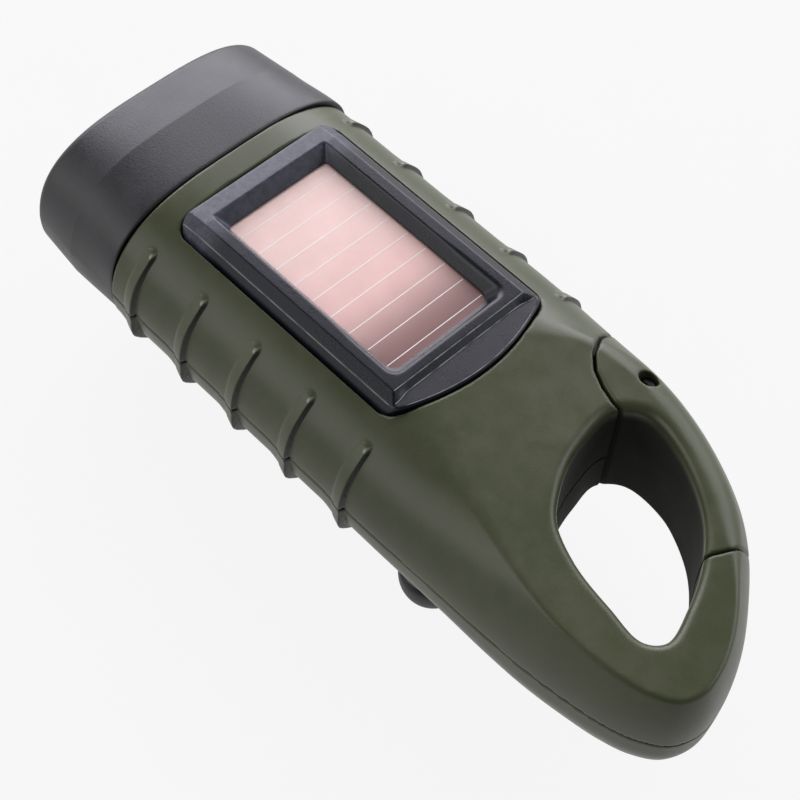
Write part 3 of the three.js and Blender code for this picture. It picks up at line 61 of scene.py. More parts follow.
# %% The drawing's own origin
shaft_low, shaft_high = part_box("crank_bush")
parting_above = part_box("upper_shell")[0].z
parting_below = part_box("lower_shell")[1].z
HUB = Vector(
    (
        (shaft_low.x + shaft_high.x) / 2,
        (shaft_low.y + shaft_high.y) / 2,
        (parting_above + parting_below) / 2,
    )
)
print("crank axis and parting plane at", [round(v / MM, 2) for v in HUB], "mm")


def local_box(node):
    """Corners of a CAD node in millimetres from the crank axis and parting plane."""
    low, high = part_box(node)
    return (low - HUB) / MM, (high - HUB) / MM


# %% [markdown]
# Shader maths reads best as plain expressions, so one small class wraps a socket and
# turns `1 - mask * 0.5` into Math nodes. Any other node comes from one method that
# takes its type, its settings and what goes into its sockets.

# %% Expressions that build shader nodes
class Value:
    """A number that varies over a surface."""

    def __init__(self, tree, socket):
        self.tree = tree
        self.socket = socket

    def _math(self, operation, *values):
        node = self.tree.nodes.new("ShaderNodeMath")
        node.operation = operation
        for slot, value in zip(node.inputs, values):
            if isinstance(value, Value):
                self.tree.links.new(value.socket, slot)
            else:
                slot.default_value = value
        return Value(self.tree, node.outputs[0])

    def __add__(self, other):
        return self._math("ADD", self, other)

    def __radd__(self, other):
        return self._math("ADD", other, self)

    def __sub__(self, other):
        return self._math("SUBTRACT", self, other)

    def __rsub__(self, other):
        return self._math("SUBTRACT", other, self)

    def __mul__(self, other):
        return self._math("MULTIPLY", self, other)

    def __rmul__(self, other):
        return self._math("MULTIPLY", other, self)

    def __pow__(self, other):
        return self._math("POWER", self, other)

    def abs(self):
        return self._math("ABSOLUTE", self)

    def wrap(self, period):
        """Distance to the nearest multiple of period."""
        return self._math("PINGPONG", self, period / 2)

    def ramp(self, start, end):
        """0 before start, 1 after end, smooth between."""
        node = self.tree.nodes.new("ShaderNodeMapRange")
        node.interpolation_type = "SMOOTHSTEP"
        self.tree.links.new(self.socket, node.inputs["Value"])
        node.inputs["From Min"].default_value = start
        node.inputs["From Max"].default_value = end
        return Value(self.tree, node.outputs["Result"])

    def at_least(self, other):
        return self._math("MAXIMUM", self, other)


class Finish:
    """A material with one Principled shader and the nodes that feed it."""

    def __init__(self, name, **constants):
        self.material = bpy.data.materials.new(name)
        self.material.use_nodes = True
        self.tree = self.material.node_tree
        self.tree.nodes.clear()
        self.shader = self.tree.nodes.new("ShaderNodeBsdfPrincipled")
        output = self.tree.nodes.new("ShaderNodeOutputMaterial")
        self.tree.links.new(self.shader.outputs[0], output.inputs["Surface"])
        for socket, value in constants.items():
            self.shader.inputs[socket.replace("_", " ")].default_value = value
        self.where = self.node("ShaderNodeTexCoord", out="Object")

    def node(self, kind, settings=None, out=0, **sockets):
        """Adds a node, sets it up, links or fills its sockets, and gives one output."""
        node = self.tree.nodes.new(kind)
        for name, value in (settings or {}).items():
            setattr(node, name, value)
        for name, value in sockets.items():
            slot = node.inputs[int(name[1:])] if name[0] == "i" else node.inputs[name]
            if isinstance(value, Value):
                self.tree.links.new(value.socket, slot)
            else:
                slot.default_value = value
        return Value(self.tree, node.outputs[out])

    def noise(self, scale, detail=2.0, where=None, roughness=0.5):
        """Soft random field between 0 and 1; scale is in features per metre."""
        return self.node(
            "ShaderNodeTexNoise",
            Vector=where or self.where,
            Scale=scale,
            Detail=detail,
            Roughness=roughness,
        )

    def split(self, vector):
        """The x, y and z of a vector."""
        node = self.tree.nodes.new("ShaderNodeSeparateXYZ")
        self.tree.links.new(vector.socket, node.inputs[0])
        return [Value(self.tree, out) for out in node.outputs]

    def blend(self, mask, first, second):
        """Colour first where the mask is 0, and second where it is 1."""
        return self.node(
            "ShaderNodeMix",
            {"data_type": "RGBA"},
            out=2,
            i0=mask,
            i6=rgb(first),
            i7=rgb(second),
        )

    def bump(self, height, distance):
        """A normal bent by a height field; distance is the height of 1 in metres."""
        return self.node("ShaderNodeBump", Height=height, Distance=distance, Strength=1.0)

    def feed(self, **sockets):
        for name, value in sockets.items():
            self.tree.links.new(value.socket, self.shader.inputs[name.replace("_", " ")])
        return self.material


def rgb(colour):
    """A colour for a socket, from a link or from three numbers."""
    return colour if isinstance(colour, Value) else (*colour, 1.0)


def srgb(red, green, blue):
    """Linear colour from the 0 to 255 numbers of a paint chart."""
    steps = [v / 255 for v in (red, green, blue)]
    return tuple(v / 12.92 if v <= 0.04045 else ((v + 0.055) / 1.055) ** 2.4 for v in steps)


# %% [markdown]
# The camera stands where the photograph was taken from: behind the tail and to the left,
# high above the body. It could be placed by eye, but the panel's lines and the ribs are
# evenly spaced, and their spacing in the picture gives its distance and its lens.

# %% Camera
EYE_FROM_HUB = Vector((-121.672, 134.920, 248.474)) * MM
LOOK = Vector((0.3758448, -0.4264738, -0.8227155))
ROLL = math.radians(5.5164)
LENS = 87.182
SENSOR = 36.0

level = LOOK.cross(Vector((0, 0, 1))).normalized()
above = level.cross(LOOK)
right = level * math.cos(ROLL) + above * math.sin(ROLL)
up = above * math.cos(ROLL) - level * math.sin(ROLL)
camera_data = bpy.data.cameras.new("camera")
camera_data.lens = LENS
camera_data.sensor_width = SENSOR
camera_data.clip_start = 0.01
camera_data.clip_end = 10
camera = bpy.data.objects.new("camera", camera_data)
placing = Matrix.Identity(4)
for row in range(3):
    placing[row][0] = right[row]
    placing[row][1] = up[row]
    placing[row][2] = -LOOK[row]
    placing[row][3] = (HUB + EYE_FROM_HUB)[row]
camera.matrix_world = placing
bpy.context.scene.collection.objects.link(camera)
bpy.context.scene.camera = camera
print("camera", [round(v, 4) for v in camera.matrix_world.translation])

# %% [markdown]
# Moulded plastic has no hard edges: every face runs into the next over a small radius.
# Bevelling such a body by hand is slow where faces meet at changing angles. Here each
# piece is a distance field instead: a formula that is negative inside the plastic. Faces
# are joined with a rounded maximum, which is a fillet, and a fine mesh is then drawn
# where the formula is zero.

# %% Joining fields
def cut_round(a, b, radius):
    """What is inside both a and b, with the edge between them rounded."""
    corner = np.hypot(np.maximum(a + radius, 0), np.maximum(b + radius, 0))
    return np.minimum(np.maximum(a, b), -radius) + corner


def join_round(a, b, radius):
    """What is inside a or b, with the corner between them filled."""
    return -cut_round(-a, -b, radius)


def eased(value, start, end):
    """0 before start, 1 after end, smooth between."""
    share = np.clip((value - start) / (end - start), 0, 1)
    return share * share * (3 - 2 * share)


def curve_through(points, closed, steps=10):
    """A smooth line through points, with the same spacing rule as the CAD source."""
    points = np.array(points, float)
    if closed:
        ring = np.vstack([points[-1:], points, points[:2]])
    else:
        ring = np.vstack([2 * points[0] - points[1], points, 2 * points[-1] - points[-2]])
    share = np.linspace(0, 1, steps, endpoint=False)[:, None]
    line = []
    for a, b, c, d in zip(ring, ring[1:], ring[2:], ring[3:]):
        before, span, after = (math.dist(p, q) ** 0.5 for p, q in ((a, b), (b, c), (c, d)))
        start = ((b - a) / before - (c - a) / (before + span)) * span + (c - b)
        end = ((d - c) / after - (d - b) / (span + after)) * span + (c - b)
        bend = -3 * b + 3 * c - 2 * start - end
        line.append(b + share * start + share**2 * bend + share**3 * (2 * b - 2 * c + start + end))
    return np.vstack([*line, points[-1:]][: None if not closed else -1])


class Outline:
    """Distance to a closed line seen from above, negative inside, kept as a fine map."""

    def __init__(self, line, low, high, cell=0.25):
        self.low = np.array(low, float)
        self.cell = cell
        xs = np.arange(low[0], high[0] + cell, cell)
        ys = np.arange(low[1], high[1] + cell, cell)
        x, y = np.meshgrid(xs, ys, indexing="ij")
        nearest = np.full(x.shape, 1e9)
        inside = np.zeros(x.shape, bool)
        for (ax, ay), (bx, by) in zip(line, np.roll(line, -1, axis=0)):
            length = (bx - ax) ** 2 + (by - ay) ** 2
            if length == 0:
                continue
            share = np.clip(((x - ax) * (bx - ax) + (y - ay) * (by - ay)) / length, 0, 1)
            gap = (x - ax - share * (bx - ax)) ** 2 + (y - ay - share * (by - ay)) ** 2
            nearest = np.minimum(nearest, gap)
            if ay != by:
                crosses = ((ay > y) != (by > y)) & (x < ax + (y - ay) * (bx - ax) / (by - ay))
                inside ^= crosses
        self.map = np.where(inside, -1, 1) * np.sqrt(nearest)

    def __call__(self, x, y):
        u = (x - self.low[0]) / self.cell
        v = (y - self.low[1]) / self.cell
        u = np.clip(u, 0, self.map.shape[0] - 1.001)
        v = np.clip(v, 0, self.map.shape[1] - 1.001)
        i = u.astype(int)
        j = v.astype(int)
        u -= i
        v -= j
        near = self.map[i, j] * (1 - v) + self.map[i, j + 1] * v
        far = self.map[i + 1, j] * (1 - v) + self.map[i + 1, j + 1] * v
        return near * (1 - u) + far * u


# %% [markdown]
# The mesh itself comes from surface nets: one vertex in each small cube that the surface
# passes through, and one square across each cube edge that it cuts. The vertices are then
# slid onto the surface along the field's own slope, and evened out.

# %% From a field to a mesh
CUBE = [(i, j, k) for i in (0, 1) for j in (0, 1) for k in (0, 1)]
CUBE_EDGES = [
    (a, b) for a in CUBE for b in CUBE if a < b and sum(q - p for p, q in zip(a, b)) == 1
]


def slid_to_surface(points, field, cell, rounds):
    """Moves points along the field's slope to where it is zero."""
    step = 0.02
    for _ in range(rounds):
        value = field(*points.T)
        slope = np.empty_like(points)
        for axis in range(3):
            aside = np.zeros(3)
            aside[axis] = step
            ahead, behind = field(*(points + aside).T), field(*(points - aside).T)
            slope[:, axis] = (ahead - behind) / (2 * step)
        size = np.maximum((slope**2).sum(1), 0.1)
        move = -slope * (value / size)[:, None]
        length = np.linalg.norm(move, axis=1, keepdims=True)
        points = points + move * np.minimum(1, cell / 2 / np.maximum(length, 1e-9))
    return points, slope / np.linalg.norm(slope, axis=1, keepdims=True).clip(1e-9)


def drawn(field, low, high, cell, evening=2):
    """Vertices and squares of the closed surface where field is zero, in millimetres."""
    cell = np.broadcast_to(np.array(cell, float), 3)
    start = np.array(low, float) - 1.5 * cell
    counts = np.ceil((np.array(high) - low) / cell).astype(int) + 4
    axes = [start[a] + cell[a] * np.arange(counts[a]) for a in range(3)]
    value = field(*np.meshgrid(*axes, indexing="ij"))
    inside = value < 0
    wide, deep, tall = counts - 1
    corners_inside = [
        inside[i : i + wide, j : j + deep, k : k + tall].astype(int) for i, j, k in CUBE
    ]
    total = sum(corners_inside)
    cubes = np.argwhere((total > 0) & (total < 8))
    number = np.full(total.shape, -1)
    number[tuple(cubes.T)] = np.arange(len(cubes))
    middle = np.zeros((len(cubes), 3))
    crossings = np.zeros(len(cubes))
    for a, b in CUBE_EDGES:
        near = value[tuple((cubes + a).T)]
        far = value[tuple((cubes + b).T)]
        crossed = (near < 0) != (far < 0)
        share = np.where(crossed, near / np.where(crossed, near - far, 1), 0)
        place = np.array(a) + share[:, None] * (np.array(b) - a)
        middle += place * crossed[:, None]
        crossings += crossed
    points = start + cell * (cubes + middle / crossings[:, None])
    squares = []
    for axis in range(3):
        second, third = (axis + 1) % 3, (axis + 2) % 3
        along = np.zeros(3, int)
        along[axis] = 1
        size = np.array(inside.shape) - along
        here = inside[: size[0], : size[1], : size[2]]
        there = inside[along[0] :, along[1] :, along[2] :]
        edges = np.argwhere(here != there)
        corners = []
        for back_second, back_third in ((1, 1), (0, 1), (0, 0), (1, 0)):
            cube = edges.copy()
            cube[:, second] -= back_second
            cube[:, third] -= back_third
            corners.append(number[tuple(cube.T)])
        square = np.stack(corners, axis=1)
        outward = here[tuple(edges.T)]
        squares.append(np.where(outward[:, None], square, square[:, ::-1]))
    squares = np.vstack(squares)
    points, slope = slid_to_surface(points, field, cell.min(), 3)
    for _ in range(evening):
        pull = np.zeros_like(points)
        seen = np.zeros(len(points))
        for side in range(4):
            a, b = squares[:, side], squares[:, (side + 1) % 4]
            np.add.at(pull, a, points[b])
            np.add.at(pull, b, points[a])
            np.add.at(seen, a, 1)
            np.add.at(seen, b, 1)
        pull = pull / seen[:, None] - points
        pull -= slope * (pull * slope).sum(1, keepdims=True)
        points, slope = slid_to_surface(points + pull * 0.5, field, cell.min(), 2)
    return points, squares


def piece(name, points, faces, body, slot, finish, *stands_for):
    """Puts millimetres round the hub into the scene as a smooth piece on a CAD body."""
    mesh = bpy.data.meshes.new(name)
    metres = np.asarray(points) * MM + np.array(HUB)
    mesh.from_pydata(metres.tolist(), [], [list(face) for face in faces])
    mesh.update()
    mesh.polygons.foreach_set("use_smooth", [True] * len(mesh.polygons))
    made = bpy.data.objects.new(name, mesh)
    bpy.context.scene.collection.objects.link(made)
    made.data.materials.append(finish)
    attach(made, body)
    if stands_for:
        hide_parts(*stands_for)
    print(f"{name}: {len(mesh.vertices)} vertices")
    return made


# %% [markdown]
# The green body is one field: the plan outline, drawn in towards the crown and the
# underside, then cut by the hook's slanted top, its raised underside and its opening.
# The sizes are the ones that the CAD source is built from.

# %% The body's outline and its opening
HALF_WIDTH, TOP, BOTTOM = 26.2, 15.1, 13.2
SEAM, TAIL = 37.7, 77.5
WALL, PARTING = 1.9, 0.04
TAIL_OUTLINE = [
    (0.16, 1), (0.32, 1), (0.478, 0.99), (0.6, 0.985), (0.7, 0.97), (0.785, 0.94),
    (0.86, 0.9), (0.925, 0.835), (0.978, 0.72), (1, 0.55), (0.988, 0.31), (0.953, 0.06),
    (0.895, -0.2), (0.826, -0.44), (0.75, -0.615), (0.618, -0.801), (0.478, -0.911),
    (0.32, -0.966), (0.16, -1),
]
HOOK_OPENING = [
    (0.474, -0.36), (0.478, -0.11), (0.506, 0.144), (0.561, 0.36), (0.647, 0.483),
    (0.753, 0.539), (0.833, 0.558), (0.864, 0.462), (0.845, 0.227), (0.798, -0.059),
    (0.728, -0.287), (0.615, -0.461), (0.52, -0.495),
]
LOW, HIGH = (-TAIL - 4, -HALF_WIDTH - 4), (SEAM + 6, HALF_WIDTH + 4)


def from_shares(shares):
    """Points in millimetres from shares of the tail's length and the half width."""
    return [(-back * TAIL, side * HALF_WIDTH) for back, side in shares]


ends = [(-1, 1), (-0.5, 1), (0, 1)]
straight = ends + TAIL_OUTLINE + [(back, -1) for back, _ in reversed(ends)]
outline = Outline(curve_through(from_shares(straight), False), LOW, HIGH)
opening = Outline(curve_through(from_shares(HOOK_OPENING), True), LOW, HIGH)
print("outline and opening mapped:", outline.map.shape)

# %% [markdown]
# Ten ribs grip the sides. Each rises like a ramp from the head's side and ends in a small
# step towards the tail, with a round tip above and below. A low swell leads up to it and
# is fuller below. The ribs are laid out along the curve of the section, so that they keep
# their width round the shoulder.

# %% Section of the body, and its ribs
CROWN_POWER, SIDE_POWER = 2.05, 3.2
CROWN_END = 0.9995
RIBS, RIB_FIRST, RIB_PITCH = 5, 33.0, 12.12
RIB_HALF, RIB_HEIGHT, RIB_START, RIB_STEP = 1.2, 0.6, 0.12, 0.15
RIB_UP, RIB_DOWN = 11.2, -10.4
SWELL, SWELL_BELOW, SWELL_START = 0.3, 0.5, -4.5
SWELL_FULLER, SWELL_ENDS = (1, 6), (9.6, 5)

levels = np.linspace(-BOTTOM, TOP, 600)
shares = np.abs(levels) / np.where(levels > 0, TOP, BOTTOM)
reach = HALF_WIDTH * (1 - np.minimum(shares, CROWN_END) ** CROWN_POWER) ** (1 / SIDE_POWER)
lengths = np.concatenate([[0], np.cumsum(np.hypot(np.diff(levels), np.diff(reach)))])


def section_inset(z):
    """How far the section is inside the plan outline at a height, and its slope."""
    full = np.where(z > 0, TOP, BOTTOM)
    share = np.minimum(np.abs(z) / full, CROWN_END)
    left = 1 - share**CROWN_POWER
    inset = HALF_WIDTH * (1 - left ** (1 / SIDE_POWER))
    slope = HALF_WIDTH / SIDE_POWER * left ** (1 / SIDE_POWER - 1) * CROWN_POWER
    return inset, slope * share ** (CROWN_POWER - 1) / full


def ribs(x, z):
    """Height of the ribs over the side of the body."""
    along = np.interp(z, levels, lengths)
    low, high = np.interp([RIB_DOWN, RIB_UP], levels, lengths)
    past_end = np.maximum(0, np.maximum(low + RIB_HALF - along, along - high + RIB_HALF))
    fuller = SWELL + SWELL_BELOW * eased(-z, *SWELL_FULLER)
    bulging = fuller * eased(np.abs(z), *SWELL_ENDS)
    rise = np.zeros_like(x)
    for i in range(RIBS):
        back = RIB_FIRST - i * RIB_PITCH - x
        edge = RIB_HALF - np.hypot(back, past_end)
        climb = np.clip(back / RIB_HALF / 2 + 0.5, 0, 1)
        ramp = RIB_START + (RIB_HEIGHT - RIB_START) * climb
        before_step = np.clip((RIB_HALF - back) / RIB_STEP, 0, 1)
        swell = bulging * eased(back, SWELL_START, RIB_HALF) * before_step
        rise = np.maximum(rise, swell + ramp * np.clip(edge / RIB_STEP, 0, 1))
    return rise


print("ribs on each side:", RIBS, "first", RIB_FIRST, "mm ahead of the hub, pitch", RIB_PITCH)

# %% [markdown]
# Behind the hub the body's round section turns into the hook's, which has a nearly
# upright side with a rolled edge. Two sections joined by a straight loft would show where
# they meet, so the change is eased in instead. A pair of numbers in brackets is a stretch, in
# millimetres from the hub: where a change starts, and where it is complete.

# %% Side and opening of the hook
HOOK_LEFT_ABOVE, HOOK_LEFT_BELOW, HOOK_RIGHT = (22, 62), (16.6, 54), (12.5, 37)
HOOK_MIDDLE = (-6, 6)
ROLL_LEFT, ROLL_RIGHT, ROLL_BELOW = 2.6, 4.2, 4.6
ROLL_MIDDLE, ROLL_AT, ROLL_POWER, ROLL_MOST, ROLL_END = (-10, 14), 12, 2.2, 5.4, 1.2
GATE_LINE_AT, GATE_LINE_SLOPE, GATE_LINE_TURN = (-38, -6.5), 0.696, (-3, 3)
DRAFT_BELOW, DRAFT_ABOVE = (-6, 9), (0, 8)
GATE_LEAN, GATE_LEAN_FROM = 0.85, (40, 50)
FAR_LEAN, FAR_LEAN_FROM, FAR_LEAN_TO = 0.45, (40, 45), (-70, -46)
NEAR_FULL, NEAR_FULL_FROM = 0.5, (-43, -38)


def hook_share(x, y, z):
    """0 where the section is the body's, 1 where it is the hook's."""
    left = np.where(z > 0, eased(-x, *HOOK_LEFT_ABOVE), eased(-x, *HOOK_LEFT_BELOW))
    right = eased(-x, *HOOK_RIGHT)
    return right + (left - right) * eased(y, *HOOK_MIDDLE)


def hook_roll(y, z):
    """How far the hook's side draws in, at ROLL_AT above or below the parting plane."""
    above = ROLL_RIGHT + (ROLL_LEFT - ROLL_RIGHT) * eased(y, *ROLL_MIDDLE)
    return np.where(z > 0, above, ROLL_BELOW)


def hook_inset(y, z):
    """The same as section_inset, for the hook."""
    rise = np.minimum(np.abs(z) / ROLL_AT, ROLL_END)
    roll = hook_roll(y, z)
    inset = np.minimum(ROLL_MOST, roll * rise**ROLL_POWER)
    return inset, roll * ROLL_POWER / ROLL_AT * rise ** (ROLL_POWER - 1)


def opening_walls(x, y, z):
    """The opening with its draft: the gate's wall leans out below, the far one above."""
    line = GATE_LINE_AT[1] - (x - GATE_LINE_AT[0]) * GATE_LINE_SLOPE
    gate_side = eased(line - y, *GATE_LINE_TURN)
    far_side = 1 - gate_side
    below = eased(-z, *DRAFT_BELOW)
    above = eased(z, *DRAFT_ABOVE)
    lean = GATE_LEAN * gate_side * below * eased(-x, *GATE_LEAN_FROM)
    lean += FAR_LEAN * far_side * above * eased(-x, *FAR_LEAN_FROM) * eased(x, *FAR_LEAN_TO)
    return opening(x, y) - lean + NEAR_FULL * far_side * below * eased(x, *NEAR_FULL_FROM)


# %% [markdown]
# The deck slopes down towards the tail from a shallow dip behind the panel, and the belly
# rises to the hook. With the side and the opening they enclose the whole body.

# %% The body as one block
SLIM, SLIM_ACROSS, SLIM_UP, SLIM_ALONG = 0.4, (8, 18), (0, 4), (-42, -28)
FULL, FULL_ACROSS, FULL_DOWN = 0.25, (5, 15), (1, 5)
DECK_START, DECK_LOW = 19.9, 10.1
DIP, DIP_START, DIP_END = 0.5, (10, 19), (-50, -24)
BELLY_AT = [-81.6, -35, -22, 0]
BELLY_HEIGHT = [-8.8, -9.3, -BOTTOM, -BOTTOM - 6.6]
BELLY_SCALE = 0.96
DECK_EDGE, DECK_EDGE_MORE, BELLY_EDGE, OPENING_EDGE, COLLAR_EDGE = 0.5, 1.5, 0.6, 1.6, 0.35
SOFT_ACROSS, SOFT_START, SOFT_END = (-2, 10), (24, 36), (-70, -60)


def flank_shape(x, y, z):
    """The right flank is a little slimmer above, and the left one fuller below."""
    slim = SLIM * eased(-y, *SLIM_ACROSS) * eased(z, *SLIM_UP) * eased(x, *SLIM_ALONG)
    return slim - FULL * eased(y, *FULL_ACROSS) * eased(-z, *FULL_DOWN)


def deck_height(x):
    return TOP - (TOP - DECK_LOW) * (-x - DECK_START) / (TAIL - DECK_START)


def body(x, y, z):
    """The whole green body as one block."""
    inset, slope = section_inset(z)
    inset_there, slope_there = hook_inset(y, z)
    share = hook_share(x, y, z)
    inset += (inset_there - inset) * share
    slope += (slope_there - slope) * share
    side = (outline(x, y) + inset) / np.hypot(1, slope) - ribs(x, z) * (1 - share) ** 0.5
    side += flank_shape(x, y, z)
    side = np.maximum(side, np.where(z > 0, z - TOP, -z - BOTTOM))
    dip = DIP * eased(-x, *DIP_START) * eased(x, *DIP_END)
    belly = np.interp(x, BELLY_AT, BELLY_HEIGHT) - z
    soft = eased(-y, *SOFT_ACROSS) * eased(-x, *SOFT_START) * eased(x, *SOFT_END)
    block = cut_round(side, z + dip - deck_height(x), DECK_EDGE + DECK_EDGE_MORE * soft)
    block = cut_round(block, belly * BELLY_SCALE, BELLY_EDGE)
    block = cut_round(block, -opening_walls(x, y, z), OPENING_EDGE)
    return cut_round(block, x - SEAM, COLLAR_EDGE)


print("deck at the tail's tip:", round(deck_height(-TAIL), 2), "mm above the parting plane")

# %% [markdown]
# The gate of the hook is cut from the same block along a wavy seam, so that it lines up
# with the body when it is shut. A tongue of the body reaches into the gate's slot and
# carries the pin. The slot is the tongue's own plan, grown by a gap and turned through a
# little more than the gate's swing, which leaves the gate free to open.

# %% Seam, tongue and slot of the gate
PIVOT = np.array((-36.2, 8.2 - HALF_WIDTH))
GATE_REACH = 30.4
GATE_SEAM = [
    (-0.45, -0.42), (-0.375, -0.2), (-0.335, 0.01), (-0.28, 0.12), (-0.205, 0.19),
    (-0.11, 0.235), (-0.015, 0.26), (0.035, 0.25), (0.12, 0.42), (0.55, 0.88),
    (0.72, 0.8), (0.832, 0.561), (0.877, 0.486), (0.914, 0.408), (0.936, 0.327),
    (0.95, 0.209), (0.72, -0.12), (0.2, -0.5),
]
HINGE_GAP, NOSE_GAP, NOSE_START, SEAM_EDGE = 0.6, 0.45, (0.45, 0.55), 0.22
TONGUE_LOW, TONGUE_HIGH, TONGUE_EYE, TONGUE_EDGE = 2.5, 6.1, 3.2, 0.2
FAN_REACH, FAN_END = 5.6, 135
ROOT_REACH, ROOT_END, ROOT_RIGHT, ROOT_LONG = 7.6, 60, 1.6, 12.5
SLOT_GAP, SLOT_SWING, SLOT_EDGE = 0.3, 27, 0.15
PIN_HEAD, PIN_HEAD_HIGH, PIN_SHANK, PIN_FOOT, PIN_SUNK = 1.6, 1.4, 1.2, -6.4, 3.2
PIN_TOP = deck_height(PIVOT[0]) - PIN_SUNK
PIN_GAP_GATE, PIN_EDGE_GATE = 0.08, 0.25
PIN_GAP_BODY, PIN_EDGE_BODY = 0.1, 0.3
seam_line = [PIVOT + np.array((-back, left)) * GATE_REACH for back, left in GATE_SEAM]
seam = Outline(seam_line, LOW, HIGH)


def beside_pivot(x, y):
    return np.hypot(x - PIVOT[0], y - PIVOT[1])


def tongue_plan(x, y, swept):
    """The tongue seen from above; swept is how far it turns against the gate, in degrees."""
    around = np.degrees(np.arctan2(y - PIVOT[1], x - PIVOT[0]))
    away = beside_pivot(x, y)
    degree = np.radians(1) * away
    fan = np.maximum(away - FAN_REACH, np.maximum(-around, around - FAN_END - swept) * degree)
    room = np.maximum(away - ROOT_REACH, np.maximum(-around, around - ROOT_END - swept) * degree)
    across = np.maximum(PIVOT[1] - ROOT_RIGHT - y, y - PIVOT[1] - ROOT_REACH)
    root = np.maximum(PIVOT[0] - x, across)
    root = np.maximum(root, np.maximum(x - PIVOT[0] - ROOT_LONG, (around - ROOT_END) * degree))
    return np.minimum(np.minimum(away - TONGUE_EYE, fan), np.minimum(room, root))


def tongue(x, y, z, grow=0.0, swept=0.0):
    layer = np.maximum(TONGUE_LOW - z, z - TONGUE_HIGH)
    return cut_round(tongue_plan(x, y, swept) - grow, layer - grow, TONGUE_EDGE)


def pin_bore(x, y, z, grow):
    """Room for the pin: a shank from below and a wider sink for its head."""
    away = beside_pivot(x, y)
    head = np.maximum(away - PIN_HEAD - grow, PIN_TOP - PIN_HEAD_HIGH - z)
    shank = np.maximum(away - PIN_SHANK - grow, PIN_FOOT - z)
    return np.minimum(head, shank)


def gate(x, y, z):
    """The swinging half of the carabiner."""
    nose = eased(-(x - PIVOT[0]) / GATE_REACH, *NOSE_START)
    gap = HINGE_GAP + (NOSE_GAP - HINGE_GAP) * nose
    block = cut_round(body(x, y, z), seam(x, y) + gap, SEAM_EDGE)
    block = cut_round(block, -tongue(x, y, z, SLOT_GAP, SLOT_SWING), SLOT_EDGE)
    return cut_round(block, -pin_bore(x, y, z, PIN_GAP_GATE), PIN_EDGE_GATE)


GATE_CELL = 0.32
gate_mesh = drawn(gate, *local_box("carabiner_gate"), GATE_CELL)
print("gate", len(gate_mesh[0]), "vertices")

# %% [markdown]
# The solar panel's frame sits in a recess of the upper shell. Two drawings of it could
# drift apart, so both follow one plan: a rectangle with round corners, whose rear side
# bulges towards the hook.

# %% Plan of the panel's frame
BEZEL_FRONT, BEZEL_BACK, BEZEL_SIDE, BEZEL_BULGE = 32.5, -17.2, 16.5, 2.5
FRONT_CORNER, REAR_CORNER = 2.6, 2.6
BEZEL_SEAT, BEZEL_GAP = 11.4, 0.3


def arc(x, y, radius, start, end, steps=8):
    turns = np.radians(np.linspace(start, end, steps))
    return [(x + radius * math.cos(t), y + radius * math.sin(t)) for t in turns]


def bent(start, control, end, steps=16):
    """A quadratic curve, without its first point."""
    share = np.linspace(0, 1, steps + 1)[1:, None]
    start, control, end = (np.array(p, float) for p in (start, control, end))
    return [*(start * (1 - share) ** 2 + 2 * share * (1 - share) * control + share**2 * end)]


def bezel_outline():
    front_x, front_y = BEZEL_FRONT - FRONT_CORNER, BEZEL_SIDE - FRONT_CORNER
    shoulder = (BEZEL_BACK + REAR_CORNER / 4, BEZEL_SIDE - REAR_CORNER)
    opposite = (shoulder[0], -shoulder[1])
    middle = (BEZEL_BACK - 2 * BEZEL_BULGE, 0)
    corner_x = shoulder[0] + (shoulder[0] - middle[0]) * REAR_CORNER / shoulder[1]
    start_x = corner_x + REAR_CORNER
    line = arc(front_x, front_y, FRONT_CORNER, 0, 90) + [(start_x, BEZEL_SIDE)]
    line += bent((start_x, BEZEL_SIDE), (corner_x, BEZEL_SIDE), shoulder)
    line += bent(shoulder, middle, opposite, 40)
    line += bent(opposite, (corner_x, -BEZEL_SIDE), (start_x, -BEZEL_SIDE))
    return line + arc(front_x, -front_y, FRONT_CORNER, -90, 0)


bezel_plan = Outline(bezel_outline(), LOW, HIGH)

# %% [markdown]
# The shells are what is left of the block round the gate, split at the parting plane,
# hollowed for the works, and sunk at the top for the solar panel. Boolean cuts could do
# this with meshes, and leave thin faces at each cut. Taking one field from another leaves
# none. Each shell has its own round edge at the parting line, which reads as a fine dark
# line.

# %% Rooms cut into the shells
FLOOR, CEILING, ROOM_BACK, ROOM_FRONT, ROOM_LEAN = 11.3, 10.2, -24.5, 60, 0.5
SCREWS = [(31.0, 18.34), (31.0, -18.34), (-29.1, 16.244), (-19.012, -18.34), (-72.3232, 11.528)]
SCREW_SEATS = [-0.68 * BOTTOM, -0.68 * BOTTOM, -0.62 * BOTTOM, -0.68 * BOTTOM, -0.42 * BOTTOM]
SCREW_HEAD, SCREW_GAP, SCREW_EDGE, SCREW_BORE, SCREW_END, BOSS = 2.4, 0.3, 0.25, 1.25, 6.1, 3.4
HEAD_HALF, HEAD_POWER, HEAD_WALL, HEAD_GAP = 25.8, 2.6, 2.35, 0.3
SPIGOT_HIGH, SPIGOT_POWER, SPIGOT_BACK, SPIGOT_FRONT, SPIGOT_CUT = 11.5, 2.8, 33.7, 41.9, 13
PARTING_EDGE, SUNK_EDGE = 0.05, 0.25
BUTTON, BUTTON_AT, BUTTON_GAP, BUTTON_EDGE = 4.2, 30.4, 0.3, 0.3
BUSH, BUSH_GAP, BUSH_EDGE = 3.9, 0.05, 0.2


def upright(x, y, at, radius):
    return np.hypot(x - at[0], y - at[1]) - radius


